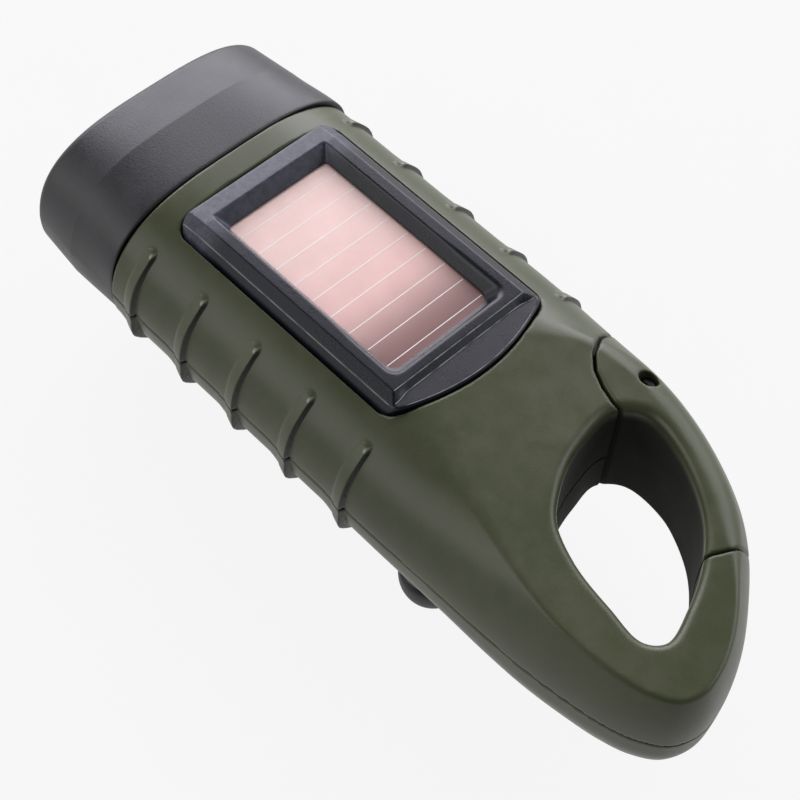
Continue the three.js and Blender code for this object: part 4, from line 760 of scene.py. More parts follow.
def spigot(x, y, z):
    """Collar of the body that plugs into the head."""
    half = HEAD_HALF - HEAD_WALL - HEAD_GAP
    rim = np.abs(y / half) ** SIDE_POWER + np.abs(z / SPIGOT_HIGH) ** HEAD_POWER
    outside = (rim ** (1 / SPIGOT_POWER) - 1) * SPIGOT_HIGH
    walls = np.maximum(outside, -outside - WALL)
    return np.maximum(walls, np.maximum(SPIGOT_BACK - x, x - SPIGOT_FRONT))


def room(x, y, z):
    """The hollow for the works, with a boss left round each screw."""
    half, _ = section_inset(z * (1 + WALL / np.where(z > 0, TOP, BOTTOM)))
    walls = (np.abs(y) - (HALF_WIDTH - half - WALL)) * ROOM_LEAN
    ends = np.maximum(ROOM_BACK - x, x - ROOM_FRONT)
    hollow = np.maximum(np.maximum(walls, ends), np.maximum(z - CEILING, -z - FLOOR))
    for at in SCREWS:
        hollow = np.maximum(hollow, -upright(x, y, at, BOSS))
    return hollow


def shell_block(x, y, z):
    block = body(x, y, z)
    kept = cut_round(block, -seam(x, y), SEAM_EDGE)
    carried = cut_round(block, tongue(x, y, z), TONGUE_EDGE)
    shell = np.maximum(join_round(kept, carried, TONGUE_EDGE), -room(x, y, z))
    level = np.where(z > 0, z - SPIGOT_CUT, -z - SPIGOT_CUT)
    shell = np.minimum(shell, np.maximum(spigot(x, y, z), level))
    for at, seat in zip(SCREWS, SCREW_SEATS):
        sink = np.maximum(upright(x, y, at, SCREW_HEAD + SCREW_GAP), z - seat)
        shell = cut_round(shell, -sink, SCREW_EDGE)
        shell = np.maximum(shell, -np.maximum(upright(x, y, at, SCREW_BORE), z - SCREW_END))
    return shell


def upper(x, y, z):
    shell = cut_round(shell_block(x, y, z), PARTING / 2 - z, PARTING_EDGE)
    sunk = np.maximum(bezel_plan(x, y) - BEZEL_GAP, BEZEL_SEAT - z)
    shell = cut_round(shell, -sunk, SUNK_EDGE)
    return cut_round(shell, -pin_bore(x, y, z, PIN_GAP_BODY), PIN_EDGE_BODY)


def lower(x, y, z):
    shell = cut_round(shell_block(x, y, z), z + PARTING / 2, PARTING_EDGE)
    shell = cut_round(shell, -upright(x, y, (BUTTON_AT, 0), BUTTON + BUTTON_GAP), BUTTON_EDGE)
    return cut_round(shell, -upright(x, y, (0, 0), BUSH + BUSH_GAP), BUSH_EDGE)


SHELL_CELL = ((0.27, 0.4, 0.4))
shell_meshes = {}
for name, field in (("upper_shell", upper), ("lower_shell", lower)):
    shell_meshes[name] = drawn(field, *local_box(name), SHELL_CELL)
    print(name, len(shell_meshes[name][0]), "vertices")

# %% [markdown]
# The solar panel's frame is a thick black rim. Its long sides slope away outside, and its
# rear end steps down to a ledge that bulges towards the hook. Inside, four flat walls lean
# outwards from the panel. A box could be cut and bevelled to this shape. As a field each
# wall is one leaning plane, and one number rounds the edge where two of them meet.

# %% Frame of the solar panel
BEZEL_TOP, PANEL_FACE = 15.6, 13.1
STEP_FRONT, STEP_BACK, STEP_DEEP, STEP_CURL, CURL = -13.5, -14.5, 0.85, 0.45, (11.5, 14.5)
LEDGE_RISE, LEDGE_LONG = 0.25, 4.5
SLOPE_AT, SLOPE, RIM_AT, RIM_SLOPE, NOSE_AT, NOSE_SLOPE = 13.75, 0.62, 15.5, 1.4, 28.6, 0.09
WINDOW_FRONT, WINDOW_REAR, WINDOW_SIDE = 26.8, -9.7, 10.1
LEAN_FRONT, LEAN_REAR, LEAN_SIDE = 2.3, 1.9, 1.7
SCALE_TOP, SCALE_FRONT, SCALE_REAR, SCALE_SIDE = 0.85, 0.74, 0.8, 0.83
RIM_EDGE, FOOT_EDGE, FOOT_GAP, REAR_CORNERS, REAR_FROM = 0.3, 0.2, 0.1, (0.25, 0.3, 1.1), (-4, 4)
WINDOW_EDGE, WINDOW_EDGE_MORE = 0.16, 0.3
POCKET_FRONT, POCKET_REAR, POCKET_SIDE, POCKET_DEEP = 28.3, -11.9, 11.6, 0.1
BEZEL_CELL = 0.22


def rear_edge(y):
    """Where the steep step at the rear ends; its two ends curve back."""
    return STEP_BACK - STEP_CURL * eased(np.abs(y), *CURL)


def bezel_window(x, y, z):
    """The opening over the panel, with leaning walls and rounder corners at the rear."""
    above = np.maximum(z - PANEL_FACE, 0) / (BEZEL_TOP - PANEL_FACE)
    front = (x - WINDOW_FRONT - LEAN_FRONT * above) * SCALE_FRONT
    rear = (WINDOW_REAR - LEAN_REAR * above - x) * SCALE_REAR
    side = (np.abs(y) - WINDOW_SIDE - LEAN_SIDE * above) * SCALE_SIDE
    ends_corner, corner, corner_more = REAR_CORNERS
    ends = cut_round(front, rear, ends_corner)
    return cut_round(ends, side, corner + corner_more * eased(-x, *REAR_FROM))


def bezel(x, y, z):
    foot = rear_edge(y)
    step = np.clip((STEP_FRONT - x) / (STEP_FRONT - foot), 0, 1) * STEP_DEEP
    ledge = LEDGE_RISE * np.clip((foot - x) / LEDGE_LONG, 0, 1)
    side_slope = SLOPE * np.maximum(np.abs(y) - SLOPE_AT, 0)
    side_slope = side_slope + RIM_SLOPE * np.maximum(np.abs(y) - RIM_AT, 0)
    front_slope = NOSE_SLOPE * np.maximum(x - NOSE_AT, 0)
    top = z - BEZEL_TOP + front_slope + np.maximum(step - ledge, side_slope)
    rim = cut_round(bezel_plan(x, y), top * SCALE_TOP, RIM_EDGE)
    rim = cut_round(rim, BEZEL_SEAT + FOOT_GAP - z, FOOT_EDGE)
    edge = WINDOW_EDGE + WINDOW_EDGE_MORE * eased(-x, *REAR_FROM)
    rim = cut_round(rim, -bezel_window(x, y, z), edge)
    pocket = np.maximum(np.maximum(x - POCKET_FRONT, POCKET_REAR - x), np.abs(y) - POCKET_SIDE)
    return np.maximum(rim, -np.maximum(pocket, z - PANEL_FACE - POCKET_DEEP))


low, high = local_box("solar_bezel")
bezel_mesh = drawn(bezel, low - Vector((3, 1, 0)), high + Vector((0, 1, 0)), BEZEL_CELL)
print("panel frame", len(bezel_mesh[0]), "vertices")

# %% [markdown]
# The crank arm is a flat bar with two round ends, a sunk screw at the hub and a groove
# along its outside. An outline pushed up to a solid would keep hard edges, so this is a
# field too. The works need the arm at its real place, so the line between its ends is read
# from the CAD's hub and knob.

# %% Crank arm
knob_low, knob_high = local_box("crank_knob")
knob_at = np.array([(knob_low.x + knob_high.x) / 2, (knob_low.y + knob_high.y) / 2])
ARM_LENGTH = float(np.hypot(*knob_at))
ARM_WAY = knob_at / ARM_LENGTH
ARM_TOP, ARM_BOTTOM, ARM_HUB, ARM_END, ARM_EDGE = -14.2, -18.2, 6.4, 5.6, 0.7
GROOVE_START, GROOVE_END, GROOVE_HALF, GROOVE_DEEP, GROOVE_EDGE = 8.7, 8, 3.3, 1, 0.35
SINK, SINK_DEEP, SINK_EDGE = 2.5, 2.3, 0.3
KNOB_BORE, KNOB_BORE_END = 1.45, 0.7
SQUARE_HALF, SQUARE_END = 1.6, 2.2
ARM_CELL = 0.35
print("arm", round(ARM_LENGTH, 2), "mm long, knob at", knob_at.round(2))


def along_arm(x, y):
    """Distance out along the arm and across it."""
    return x * ARM_WAY[0] + y * ARM_WAY[1], y * ARM_WAY[0] - x * ARM_WAY[1]


def tapered(along, across, start, end, near, far):
    """Plan of a bar with round ends of two sizes."""
    lean = (near - far) / (end - start)
    shift = np.abs(across) * lean / math.sqrt(1 - lean**2)
    place = np.clip((along - start + shift) / (end - start), 0, 1)
    middle = start + place * (end - start)
    return np.hypot(along - middle, across) - (near + (far - near) * place)


def crank_arm(x, y, z):
    along, across = along_arm(x, y)
    plan = tapered(along, across, 0, ARM_LENGTH, ARM_HUB, ARM_END)
    bar = cut_round(cut_round(plan, z - ARM_TOP, ARM_EDGE), ARM_BOTTOM - z, ARM_EDGE)
    groove_end = ARM_LENGTH - GROOVE_END
    groove = tapered(along, across, GROOVE_START, groove_end, GROOVE_HALF, GROOVE_HALF)
    bar = cut_round(bar, -np.maximum(groove, z - ARM_BOTTOM - GROOVE_DEEP), GROOVE_EDGE)
    sink = np.maximum(np.hypot(along, across) - SINK, z - ARM_BOTTOM - SINK_DEEP)
    bar = cut_round(bar, -sink, SINK_EDGE)
    from_knob = np.hypot(along - ARM_LENGTH, across)
    bore = np.maximum(from_knob - KNOB_BORE, z - ARM_TOP + KNOB_BORE_END)
    square = np.maximum(np.abs(along), np.abs(across)) - SQUARE_HALF
    square = np.maximum(square, ARM_BOTTOM + SQUARE_END - z)
    return np.maximum(np.maximum(bar, -bore), -square)


arm_mesh = drawn(crank_arm, *local_box("crank_arm"), ARM_CELL)

# %% [markdown]
# Round pieces are turned, as on a lathe: a profile of radius and height is swept round an
# axis, and points on the axis close the ends. Blender's Screw modifier could do the same.
# A short function gives plain points and faces, like those of every other piece.

# %% Turned pieces
def turned(profile, at=(0, 0), sides=64):
    """Points and faces of a profile, [radius, height], swept round an upright axis."""
    points, rings = [], []
    for radius, height in profile:
        if radius < 1e-6:
            rings.append([len(points)])
            points.append((at[0], at[1], height))
            continue
        rings.append(list(range(len(points), len(points) + sides)))
        for step in range(sides):
            turn = 2 * math.pi * step / sides
            across, along = radius * math.cos(turn), radius * math.sin(turn)
            points.append((at[0] + across, at[1] + along, height))
    faces = []
    for lower_ring, upper_ring in zip(rings, rings[1:]):
        for step in range(sides):
            following = (step + 1) % sides
            corners = [
                lower_ring[step % len(lower_ring)],
                lower_ring[following % len(lower_ring)],
                upper_ring[following % len(upper_ring)],
                upper_ring[step % len(upper_ring)],
            ]
            faces.append(list(dict.fromkeys(corners)))
    return np.array(points), faces


def softened(profile, radius, steps=4):
    """The profile with its inner corners rounded off."""
    profile = [np.array(p, float) for p in profile]
    out = [profile[0]]
    for before, corner, after in zip(profile, profile[1:], profile[2:]):
        to_before, to_after = before - corner, after - corner
        reach = min(radius, np.linalg.norm(to_before) / 2.1, np.linalg.norm(to_after) / 2.1)
        start = corner + to_before / np.linalg.norm(to_before) * reach
        end = corner + to_after / np.linalg.norm(to_after) * reach
        out.append(start)
        out += bent(start, corner, end, steps)
    return [*out, profile[-1]]


# %% [markdown]
# The knob is a cap with a domed face, and it spins on a rivet whose head is sunk in that
# face. The switch's button is a low rubber dome in the belly. Cylinders with bevels could
# stand for them, but a profile gives the dome, the sink and the rim each their own radius.

# %% Knob, rivet and button
KNOB_TOP, KNOB_HEIGHT, KNOB_RADIUS, KNOB_FACE = -18.5, 6.6, 5.7, 3.2
KNOB_SHOULDER = [(0, 0.6), (0.2, 0.15), (0.6, 0)]
DOME_REACH, DOME_HEIGHT = 2.5, 5
RIVET_SINK, RIVET_SINK_DEEP, RIVET_HOLE, RIVET_ROOM_EDGE = 2.55, 1.9, 1.48, 0.2
RIVET_FACE, RIVET_TOP, RIVET_HEAD, RIVET_SHANK = 0.6, 1.7, 2.4, 1.4
RIVET_SLOPE, RIVET_HIGH, RIVET_END, RIVET_EDGE = 0.4, 1.2, 0.8, 0.3
BUTTON_PROUD, BUTTON_END, BUTTON_ROUND = 0.5, -10.9, 0.5
BUTTON_DOME = [(0, 0.1), (2.2, 0.05), (3.57, 0.17), (BUTTON, 0.75)]

knob_face = KNOB_TOP - KNOB_HEIGHT
dome = [
    (KNOB_FACE + DOME_REACH * math.sin(t), knob_face + DOME_HEIGHT * (1 - math.cos(t)))
    for t in np.linspace(0, math.pi / 2, 24)
]
sink_floor = (RIVET_HOLE, knob_face + RIVET_SINK_DEEP)
knob_profile = softened(
    [sink_floor, (RIVET_SINK, sink_floor[1]), (RIVET_SINK, knob_face)], RIVET_ROOM_EDGE
)
knob_profile += dome[1:]
knob_profile += [(KNOB_RADIUS - inward, KNOB_TOP - down) for inward, down in KNOB_SHOULDER]
knob_profile += [(RIVET_HOLE, KNOB_TOP), sink_floor]
knob_mesh = turned(knob_profile, knob_at, 96)

rivet_low = knob_face + RIVET_FACE
rivet_seat = rivet_low + RIVET_HIGH
rivet_rim = (RIVET_HEAD, rivet_low + RIVET_SLOPE)
rivet_profile = softened(
    [(0, rivet_low), (RIVET_TOP, rivet_low), rivet_rim, (RIVET_HEAD, rivet_seat)], RIVET_EDGE
)
rivet_end = ARM_TOP - RIVET_END
rivet_profile += [(RIVET_SHANK, rivet_seat), (RIVET_SHANK, rivet_end), (0, rivet_end)]
rivet_mesh = turned(rivet_profile, knob_at, 48)

button_low = -BOTTOM - BUTTON_PROUD
button_profile = [(radius, button_low + height) for radius, height in BUTTON_DOME]
button_profile = softened([*button_profile, (BUTTON, BUTTON_END)], BUTTON_ROUND)
button_mesh = turned([*button_profile, (0, BUTTON_END)], (BUTTON_AT, 0), 64)
print("knob, rivet and button:", len(knob_mesh[0]), len(rivet_mesh[0]), len(button_mesh[0]))

# %% [markdown]
# A cross-head screw is a round head and shank with two crossed slots in the face, and the
# pin of the gate has a single slot. A turned profile can't hold a slot, and a Boolean cut
# would leave its edges sharp, so these small pieces are fields again.

# %% Screws and the gate's pin
SCREW_HEAD_HIGH, SCREW_SHANK, SCREW_TIP, SCREW_HEAD_EDGE = 1.5, 1.2, 6.0, 0.3
CROSS_HALF, CROSS_LONG, CROSS_EDGE, SHANK_LAP = 0.16, 0.62, 0.08, 0.3
SCREW_CELL = 0.22
ARM_SCREW_SHANK, ARM_SCREW_HEAD, ARM_SCREW_HIGH, ARM_SCREW_LAP = 1.0, 2.2, 1.3, 0.1
PIN_CELL, PIN_HEAD_EDGE, PIN_LAP = 0.2, 0.25, 0.5
PIN_SLOT_HALF, PIN_SLOT_DEEP, PIN_SLOT_EDGE = 0.475, 0.7, 0.1


def cross_screw(seat, tip, radius, head_radius, head_height):
    """Mesh of a screw on an upright axis; its head is on the far side of the seat."""
    way = math.copysign(1, tip - seat)
    face = seat - way * head_height
    half, long = head_radius * CROSS_HALF, head_radius * CROSS_LONG

    def field(x, y, z):
        away = np.hypot(x, y)
        layer = np.maximum((face - z) * way, (z - seat) * way)
        head = cut_round(away - head_radius, layer, SCREW_HEAD_EDGE)
        length = np.maximum((seat - z) * way - SHANK_LAP, (z - tip) * way)
        shank = np.maximum(away - radius, length)
        slot = np.minimum(
            np.maximum(np.abs(x) - half, np.abs(y) - long),
            np.maximum(np.abs(y) - half, np.abs(x) - long),
        )
        slot = np.maximum(slot, (z - face) * way - head_height / 2)
        return cut_round(np.minimum(head, shank), -slot, CROSS_EDGE)

    corner = (-head_radius, -head_radius, min(face, tip))
    opposite = (head_radius, head_radius, max(face, tip))
    return drawn(field, corner, opposite, SCREW_CELL, 1)


screw_meshes = []
for at, seat in zip(SCREWS, SCREW_SEATS):
    screw_points, screw_faces = cross_screw(
        seat, SCREW_TIP, SCREW_SHANK, SCREW_HEAD, SCREW_HEAD_HIGH
    )
    screw_meshes.append((screw_points + np.array((*at, 0)), screw_faces))
arm_seat = ARM_BOTTOM + SINK_DEEP - ARM_SCREW_LAP
arm_screw_mesh = cross_screw(
    arm_seat, -BOTTOM, ARM_SCREW_SHANK, ARM_SCREW_HEAD, ARM_SCREW_HIGH
)


def gate_pin(x, y, z):
    away = np.hypot(x, y)
    layer = np.maximum(z - PIN_TOP, PIN_TOP - PIN_HEAD_HIGH - z)
    head = cut_round(away - PIN_HEAD, layer, PIN_HEAD_EDGE)
    shank = np.maximum(away - PIN_SHANK, np.maximum(z - PIN_TOP + PIN_LAP, PIN_FOOT - z))
    slot = np.maximum(np.abs(y) - PIN_SLOT_HALF, PIN_TOP - PIN_SLOT_DEEP - z)
    return cut_round(np.minimum(head, shank), -slot, PIN_SLOT_EDGE)


pin_box = (-PIN_HEAD, -PIN_HEAD, PIN_FOOT), (PIN_HEAD, PIN_HEAD, PIN_TOP)
pin_points, pin_faces = drawn(gate_pin, *pin_box, PIN_CELL, 1)
pin_points += np.array((*PIVOT, 0))
print("screws:", len(screw_meshes) + 1, "and a pin of", len(pin_points), "vertices")

# %% [markdown]
# The head is a moulded tube that is pressed over the body's collar. A field would do, but
# its grid of cells would blur the crease across the head. Rings of points follow it: each
# has the same number of points, so one list of rings covers the outside, the round front
# edge, the mouth round the lens and the inside. Close rings keep the crease crisp.

# %% Head
HEAD_LENGTH, CREASE = 21.1, 11.0
FRONT = SEAM + HEAD_LENGTH
LENS_FRONT, LENS_BACK, LENS_LIP, LENS_GAP = FRONT - 1.1, FRONT - 2.5, 1.4, 0.1
WINDOW_WIDE, WINDOW_HIGH = 20.2, 8.6
SEAM_TOP, FRONT_TOP, FRONT_HALF = 14.9, 13.5, 24.7
CREASE_BOTTOM, FRONT_BOTTOM, BOTTOM_STEP = 13.6, 13.2, 0.35
HEAD_SLIM, HEAD_SLIM_FRONT, HEAD_SLIM_BY = 2.2, 0.9, 12
HEAD_START, FRONT_EDGE, SIDES = 0.3, 1.2, 240
MOUTH = ((2.2, 0), (1.45, 0.02), (1.2, 0.15), (0.15, 1.0), (0.03, 1.1), (0, 1.3))
STATIONS = [
    0.3, 0.34, 0.5, 0.9, 1.5, 2.5, 3.6, 5, 6.5, 8, 9.4,
    10.4, 10.85, 11.0, 11.15, 11.6, 13, 15, 17, 18.8, 19.6,
]
FIRST_INSETS = [0.25, 0.1, 0.02]
FAR_AWAY, HALVINGS = 60.0, 40


def signed_power(value, power):
    return np.sign(value) * np.abs(value) ** power


around = np.linspace(0, 2 * math.pi, 4001)[:-1]
rough_y = signed_power(np.cos(around), 2 / SIDE_POWER) * HEAD_HALF
rough_z = signed_power(np.sin(around), 2 / HEAD_POWER) * SEAM_TOP
hops = np.hypot(np.diff(rough_y, append=rough_y[0]), np.diff(rough_z, append=rough_z[0]))
walk = np.concatenate([[0], np.cumsum(hops)])
even = np.linspace(0, walk[-1], SIDES, endpoint=False)
turns = np.interp(even, walk, np.append(around, 2 * math.pi))


def head_ring(x, inset):
    """One section of the head, drawn in by an inset."""
    from_seam = x - SEAM
    to_crease = eased(from_seam, 0, CREASE)
    past = min(1, max(0, from_seam - CREASE) / (HEAD_LENGTH - CREASE))
    wide = HEAD_HALF + (FRONT_HALF - HEAD_HALF) * past - inset
    slim = HEAD_SLIM * eased(from_seam, 0, HEAD_SLIM_BY) - HEAD_SLIM_FRONT * past
    top = SEAM_TOP + (FRONT_TOP - SEAM_TOP) * past - inset
    start = BOTTOM - BOTTOM_STEP
    bottom = start + (CREASE_BOTTOM - start) * to_crease
    bottom = bottom + (FRONT_BOTTOM - bottom) * past - inset
    out = signed_power(np.cos(turns), 2 / SIDE_POWER)
    rise = signed_power(np.sin(turns), 2 / HEAD_POWER)
    wide = wide - slim * np.maximum(rise, 0)
    return np.stack([np.full(SIDES, x), wide * out, np.where(rise > 0, top, bottom) * rise], 1)


def window_ring(x, grow, like):
    """A racing-track section, with its points in the directions of another ring's."""
    wide, high = WINDOW_WIDE + grow, WINDOW_HIGH + grow
    way = like[:, 1:] / np.linalg.norm(like[:, 1:], axis=1, keepdims=True)
    near, far = np.zeros(SIDES), np.full(SIDES, FAR_AWAY)
    for _ in range(HALVINGS):
        middle = (near + far) / 2
        spot = way * middle[:, None]
        sideways = np.maximum(np.abs(spot[:, 0]) - (wide - high), 0)
        outside = np.hypot(sideways, spot[:, 1]) > high
        far = np.where(outside, middle, far)
        near = np.where(outside, near, middle)
    spot = way * near[:, None]
    return np.column_stack([np.full(SIDES, x), spot])


def tube(rings):
    """Points and squares of a ring-shaped tube of sections."""
    points = np.vstack(rings)
    count, sides = len(rings), len(rings[0])
    faces = []
    for ring in range(count):
        following = (ring + 1) % count
        for step in range(sides):
            after = (step + 1) % sides
            face = [ring * sides + step, following * sides + step]
            faces.append([*face, following * sides + after, ring * sides + after])
    return points, [face[::-1] for face in faces]


insets = FIRST_INSETS + [0] * (len(STATIONS) - len(FIRST_INSETS))
head_rings = [head_ring(SEAM + s, inset) for s, inset in zip(STATIONS, insets)]
for turn in np.linspace(0, math.pi / 2, 8):
    x = FRONT - FRONT_EDGE + FRONT_EDGE * math.sin(turn)
    head_rings.append(head_ring(x, FRONT_EDGE - FRONT_EDGE * math.cos(turn)))
face_ring = head_rings[-1]
for grow, depth in MOUTH:
    head_rings.append(window_ring(FRONT - depth, grow, face_ring))
head_rings.append(window_ring(LENS_FRONT + LENS_GAP, LENS_LIP, face_ring))
head_rings.append(window_ring(LENS_BACK - LENS_GAP, LENS_LIP, face_ring))
for x in (LENS_BACK - LENS_GAP, SEAM + CREASE, SEAM + HEAD_START):
    head_rings.append(head_ring(x, HEAD_WALL))
head_mesh = tube(head_rings)
print("head", len(head_mesh[0]), "points")

# %% [markdown]
# Behind the lens sits a reflector with three bowls, each round its own lamp. The real one
# is plastic with a bright metal coat. Three spun bowls would have to be joined to a plate,
# so the bowls are cut out of one block, and their rims come out round.

# %% Reflector and lamps
REFLECTOR_DEEP, REFLECTOR_LIP, REFLECTOR_TAPER = 8.6, 1.3, 2.0
REFLECTOR_FRONT = LENS_BACK - LENS_GAP
REFLECTOR_BACK = REFLECTOR_FRONT - REFLECTOR_DEEP
REFLECTOR_CELL = 0.4
BOWL_PITCH, BOWL_RADIUS, BOWL_SCALE, BOWL_EDGE = 13, 3, 0.8, 0.15
LAMP_RADIUS, LAMP_FLANGE, LAMP_FLANGE_HIGH, LAMP_HEIGHT = 2.5, 2.9, 1, 5.4


def reflector(x, y, z):
    deep = np.clip((REFLECTOR_FRONT - x) / REFLECTOR_DEEP, 0, 1)
    inset = REFLECTOR_LIP - REFLECTOR_TAPER * deep
    wide, high = WINDOW_WIDE + inset, WINDOW_HIGH + inset
    rim = np.hypot(np.maximum(np.abs(y) - (wide - high), 0), z) - high
    block = np.maximum(rim, np.maximum(x - REFLECTOR_FRONT, REFLECTOR_BACK - x))
    share = np.clip((x - REFLECTOR_BACK) / REFLECTOR_DEEP, 0, 1)
    for lamp in (-1, 0, 1):
        bowl = np.hypot(y - lamp * BOWL_PITCH, z) - BOWL_RADIUS * (1 + np.sqrt(share))
        block = cut_round(block, -bowl * BOWL_SCALE, BOWL_EDGE)
    return block


reflector_mesh = drawn(reflector, *local_box("reflector"), REFLECTOR_CELL, 1)
lamp_dome = REFLECTOR_BACK + LAMP_HEIGHT - LAMP_RADIUS
lamp_step = REFLECTOR_BACK + LAMP_FLANGE_HIGH
lamp_profile = [(0, REFLECTOR_BACK), (LAMP_FLANGE, REFLECTOR_BACK)]
lamp_profile += [(LAMP_FLANGE, lamp_step), (LAMP_RADIUS, lamp_step)]
lamp_profile += [
    (LAMP_RADIUS * math.cos(t), lamp_dome + LAMP_RADIUS * math.sin(t))
    for t in np.linspace(0, math.pi / 2, 14)
]
print("reflector", len(reflector_mesh[0]), "vertices")

# %% [markdown]
# Injection-moulded plastic is one colour all through, but it never looks flat: a fine
# spark-eroded grain scatters the light, handling leaves smoother and duller patches, and
# dust leaves a pale speckle. All three come from noise at several sizes. What noise can't
# place comes from masks worked out from x, y and z: painted highlights on the rib tips,
# painted shade at the ribs' feet and on the walls of the hook's opening, whose gloss is
# also duller there, paler patches on the front of the panel's frame, and painted
# highlights along its edges.

# %% Finishes of the moulded pieces
COARSE, MIDDLING, FINE, GRAIN = 38, 260, 5200, 1900
SPECKLE, SPECKLE_BRIGHTER = 0.1, 1.7
DULL = 0.6


def place(finish):
    """x, y and z in millimetres from the hub, as shader values."""
    parts = zip(finish.split(finish.where), HUB)
    return [(value - float(zero)) * (1 / MM) for value, zero in parts]


def moulded(name, colour, worn, roughness, grain, layers=(), shine=0.36, dull=None):
    """Grained plastic: its colour, its colour where handled, its gloss and its grain.

    Each layer is a function that gives a mask, and the colour to put on there. Another
    such function, dull, says where the gloss is gone.
    """
    finish = Finish(name, Specular_IOR_Level=shine)
    broad = finish.noise(COARSE, 3)
    blotch = finish.noise(MIDDLING, 4, roughness=0.6)
    fine = finish.noise(FINE, 2)
    handled = (broad * 0.6 + blotch * 0.4).ramp(0.38, 0.66)
    tint = finish.blend(handled, colour, worn)
    speckle = fine.ramp(0.35, 0.75) * SPECKLE
    tint = finish.blend(speckle, tint, [min(1, c * SPECKLE_BRIGHTER) for c in worn])
    for mask, layer in layers:
        tint = finish.blend(mask(finish), tint, layer)
    gloss = (blotch - 0.5) * 0.16 + (broad - 0.5) * 0.14 + roughness
    if dull:
        gloss = gloss + dull(finish) * DULL
    height = fine * 0.7 + finish.noise(GRAIN, 3) * 0.3
    bent_normal = finish.bump(height, grain)
    return finish.feed(Base_Color=tint, Roughness=gloss, Normal=bent_normal)


# %% [markdown]
# Painted textures could show wear, but they would have to be painted again for each new
# shape. Each mask below is worked out from the place on the object instead: it is high on
# the spot that it is for, and 0 elsewhere. It is put together from ramps, which are given
# by where they start and where they end, nearly all in millimetres.

# %% Painted shade and highlights on the plastic, and other marks
RIB_FOOT = RIB_FIRST - RIB_HALF
LAST_RIB, RIB_SIDE, TIP_SIDE = -17.5, 19, 17
# These numbers place the painted shade at the foot of each rib's step, the painted highlight on
# each rib's upper tip, and the strength of the painted shade in the hook's opening.
FOOT_SHADE_LOW, FOOT_SHADE_HIGH, FOOT_SHADE_FADE, FOOT_SHADE_WIDE = RIB_DOWN + 0.6, RIB_UP - 0.9, 0.6, (0.15, 0.38)
TIP_AT, TIP_WIDE, TIP_HIGH = (RIB_FOOT + 0.55, RIB_UP - 0.45), (0.1, 0.4), (0.05, 0.35)
FOOT_SHADE, TIP_HIGHLIGHT, SHADE = 0.85, 0.7, 0.88
OPENING_AT, OPENING_WAY, OPENING_REACH = (-52.5, 1), (0.8, 0.6), (21, 12.8)
OPENING_RIM, OPENING_DEPTH = (0.92, 1.0), (0.8, 3.6)
DECK_SLOPE, DECK_AT_HUB = 0.0867, TOP + 1.72
BULGE_AT, BULGE_CURVE = 19.0, 0.01475
LINE, LINE_RIM = (0.02, 0.1), (0.03, 0.12)
STEP_ENDS, CURL_ENDS, BULGE_ENDS = (13.6, 13.8), (14.6, 14.9), (13.2, 14.2)
HIGHLIGHT_ABOVE, PALING_FROM, PALING_FULL = 13.6, 23, 5


def rib_foot_painted_shade(finish):
    """Painted shade: a dark line at the foot of each rib's step."""
    x, y, z = place(finish)
    foot = (x - RIB_FOOT).wrap(RIB_PITCH)
    along = (z - FOOT_SHADE_LOW).ramp(0, FOOT_SHADE_FADE) * (1 - (z - FOOT_SHADE_HIGH).ramp(0, FOOT_SHADE_FADE))
    between = (x - LAST_RIB).ramp(0, 0.5) * (y.abs() - RIB_SIDE).ramp(0, 1)
    return (1 - foot.ramp(*FOOT_SHADE_WIDE)) * along * between * FOOT_SHADE


def rib_tip_painted_highlight(finish):
    """Painted highlight on the upper tips of the ribs."""
    x, y, z = place(finish)
    beside = (x - TIP_AT[0]).wrap(RIB_PITCH)
    height = (z - TIP_AT[1]).abs()
    between = (x - LAST_RIB).ramp(0, 0.5) * (y.abs() - TIP_SIDE).ramp(0, 1)
    return (1 - beside.ramp(*TIP_WIDE)) * (1 - height.ramp(*TIP_HIGH)) * between * TIP_HIGHLIGHT


def opening_shade(finish):
    """Painted shade on the walls of the hook's opening, fuller deeper below the deck."""
    x, y, z = place(finish)
    back, aside = x - OPENING_AT[0], y - OPENING_AT[1]
    along = (back * -OPENING_WAY[0] + aside * OPENING_WAY[1]) * (1 / OPENING_REACH[0])
    across = (back * OPENING_WAY[1] + aside * OPENING_WAY[0]) * (1 / OPENING_REACH[1])
    within = 1 - (along * along + across * across).ramp(*OPENING_RIM)
    depth = x * DECK_SLOPE + DECK_AT_HUB - z
    return within * depth.ramp(*OPENING_DEPTH) * SHADE


def bezel_front_paling(finish):
    """Paler, bluer patches on the front end of the panel's frame."""
    x, y, z = place(finish)
    patches = finish.noise(700, 4, roughness=0.7).ramp(0.3, 0.75)
    return (x - PALING_FROM).ramp(0, PALING_FULL) * (patches * 0.5 + 0.35)


def bezel_edge_highlights(finish):
    """Painted highlights, broken in patches: the two lines of the rear step, and the outer rim."""
    x, y, z = place(finish)
    across = y.abs()
    first = (1 - (x - STEP_FRONT).abs().ramp(*LINE)) * (1 - across.ramp(*STEP_ENDS))
    curl = across.ramp(*CURL) * STEP_CURL
    second = (1 - (x - STEP_BACK + curl).abs().ramp(*LINE)) * (1 - across.ramp(*CURL_ENDS))
    rim = (x + BULGE_AT - y * y * BULGE_CURVE).abs().ramp(*LINE_RIM)
    third = (1 - rim) * (1 - across.ramp(*BULGE_ENDS))
    side = (1 - (across - RIM_AT).abs().ramp(*LINE)) * (x - STEP_BACK).ramp(0, 0.5)
    patchy = finish.noise(420, 3).ramp(0.3, 0.6) * 0.6 + 0.3
    return (first + second + third * 0.6 + side * 0.5) * (z - HIGHLIGHT_ABOVE).ramp(0, 0.4) * patchy
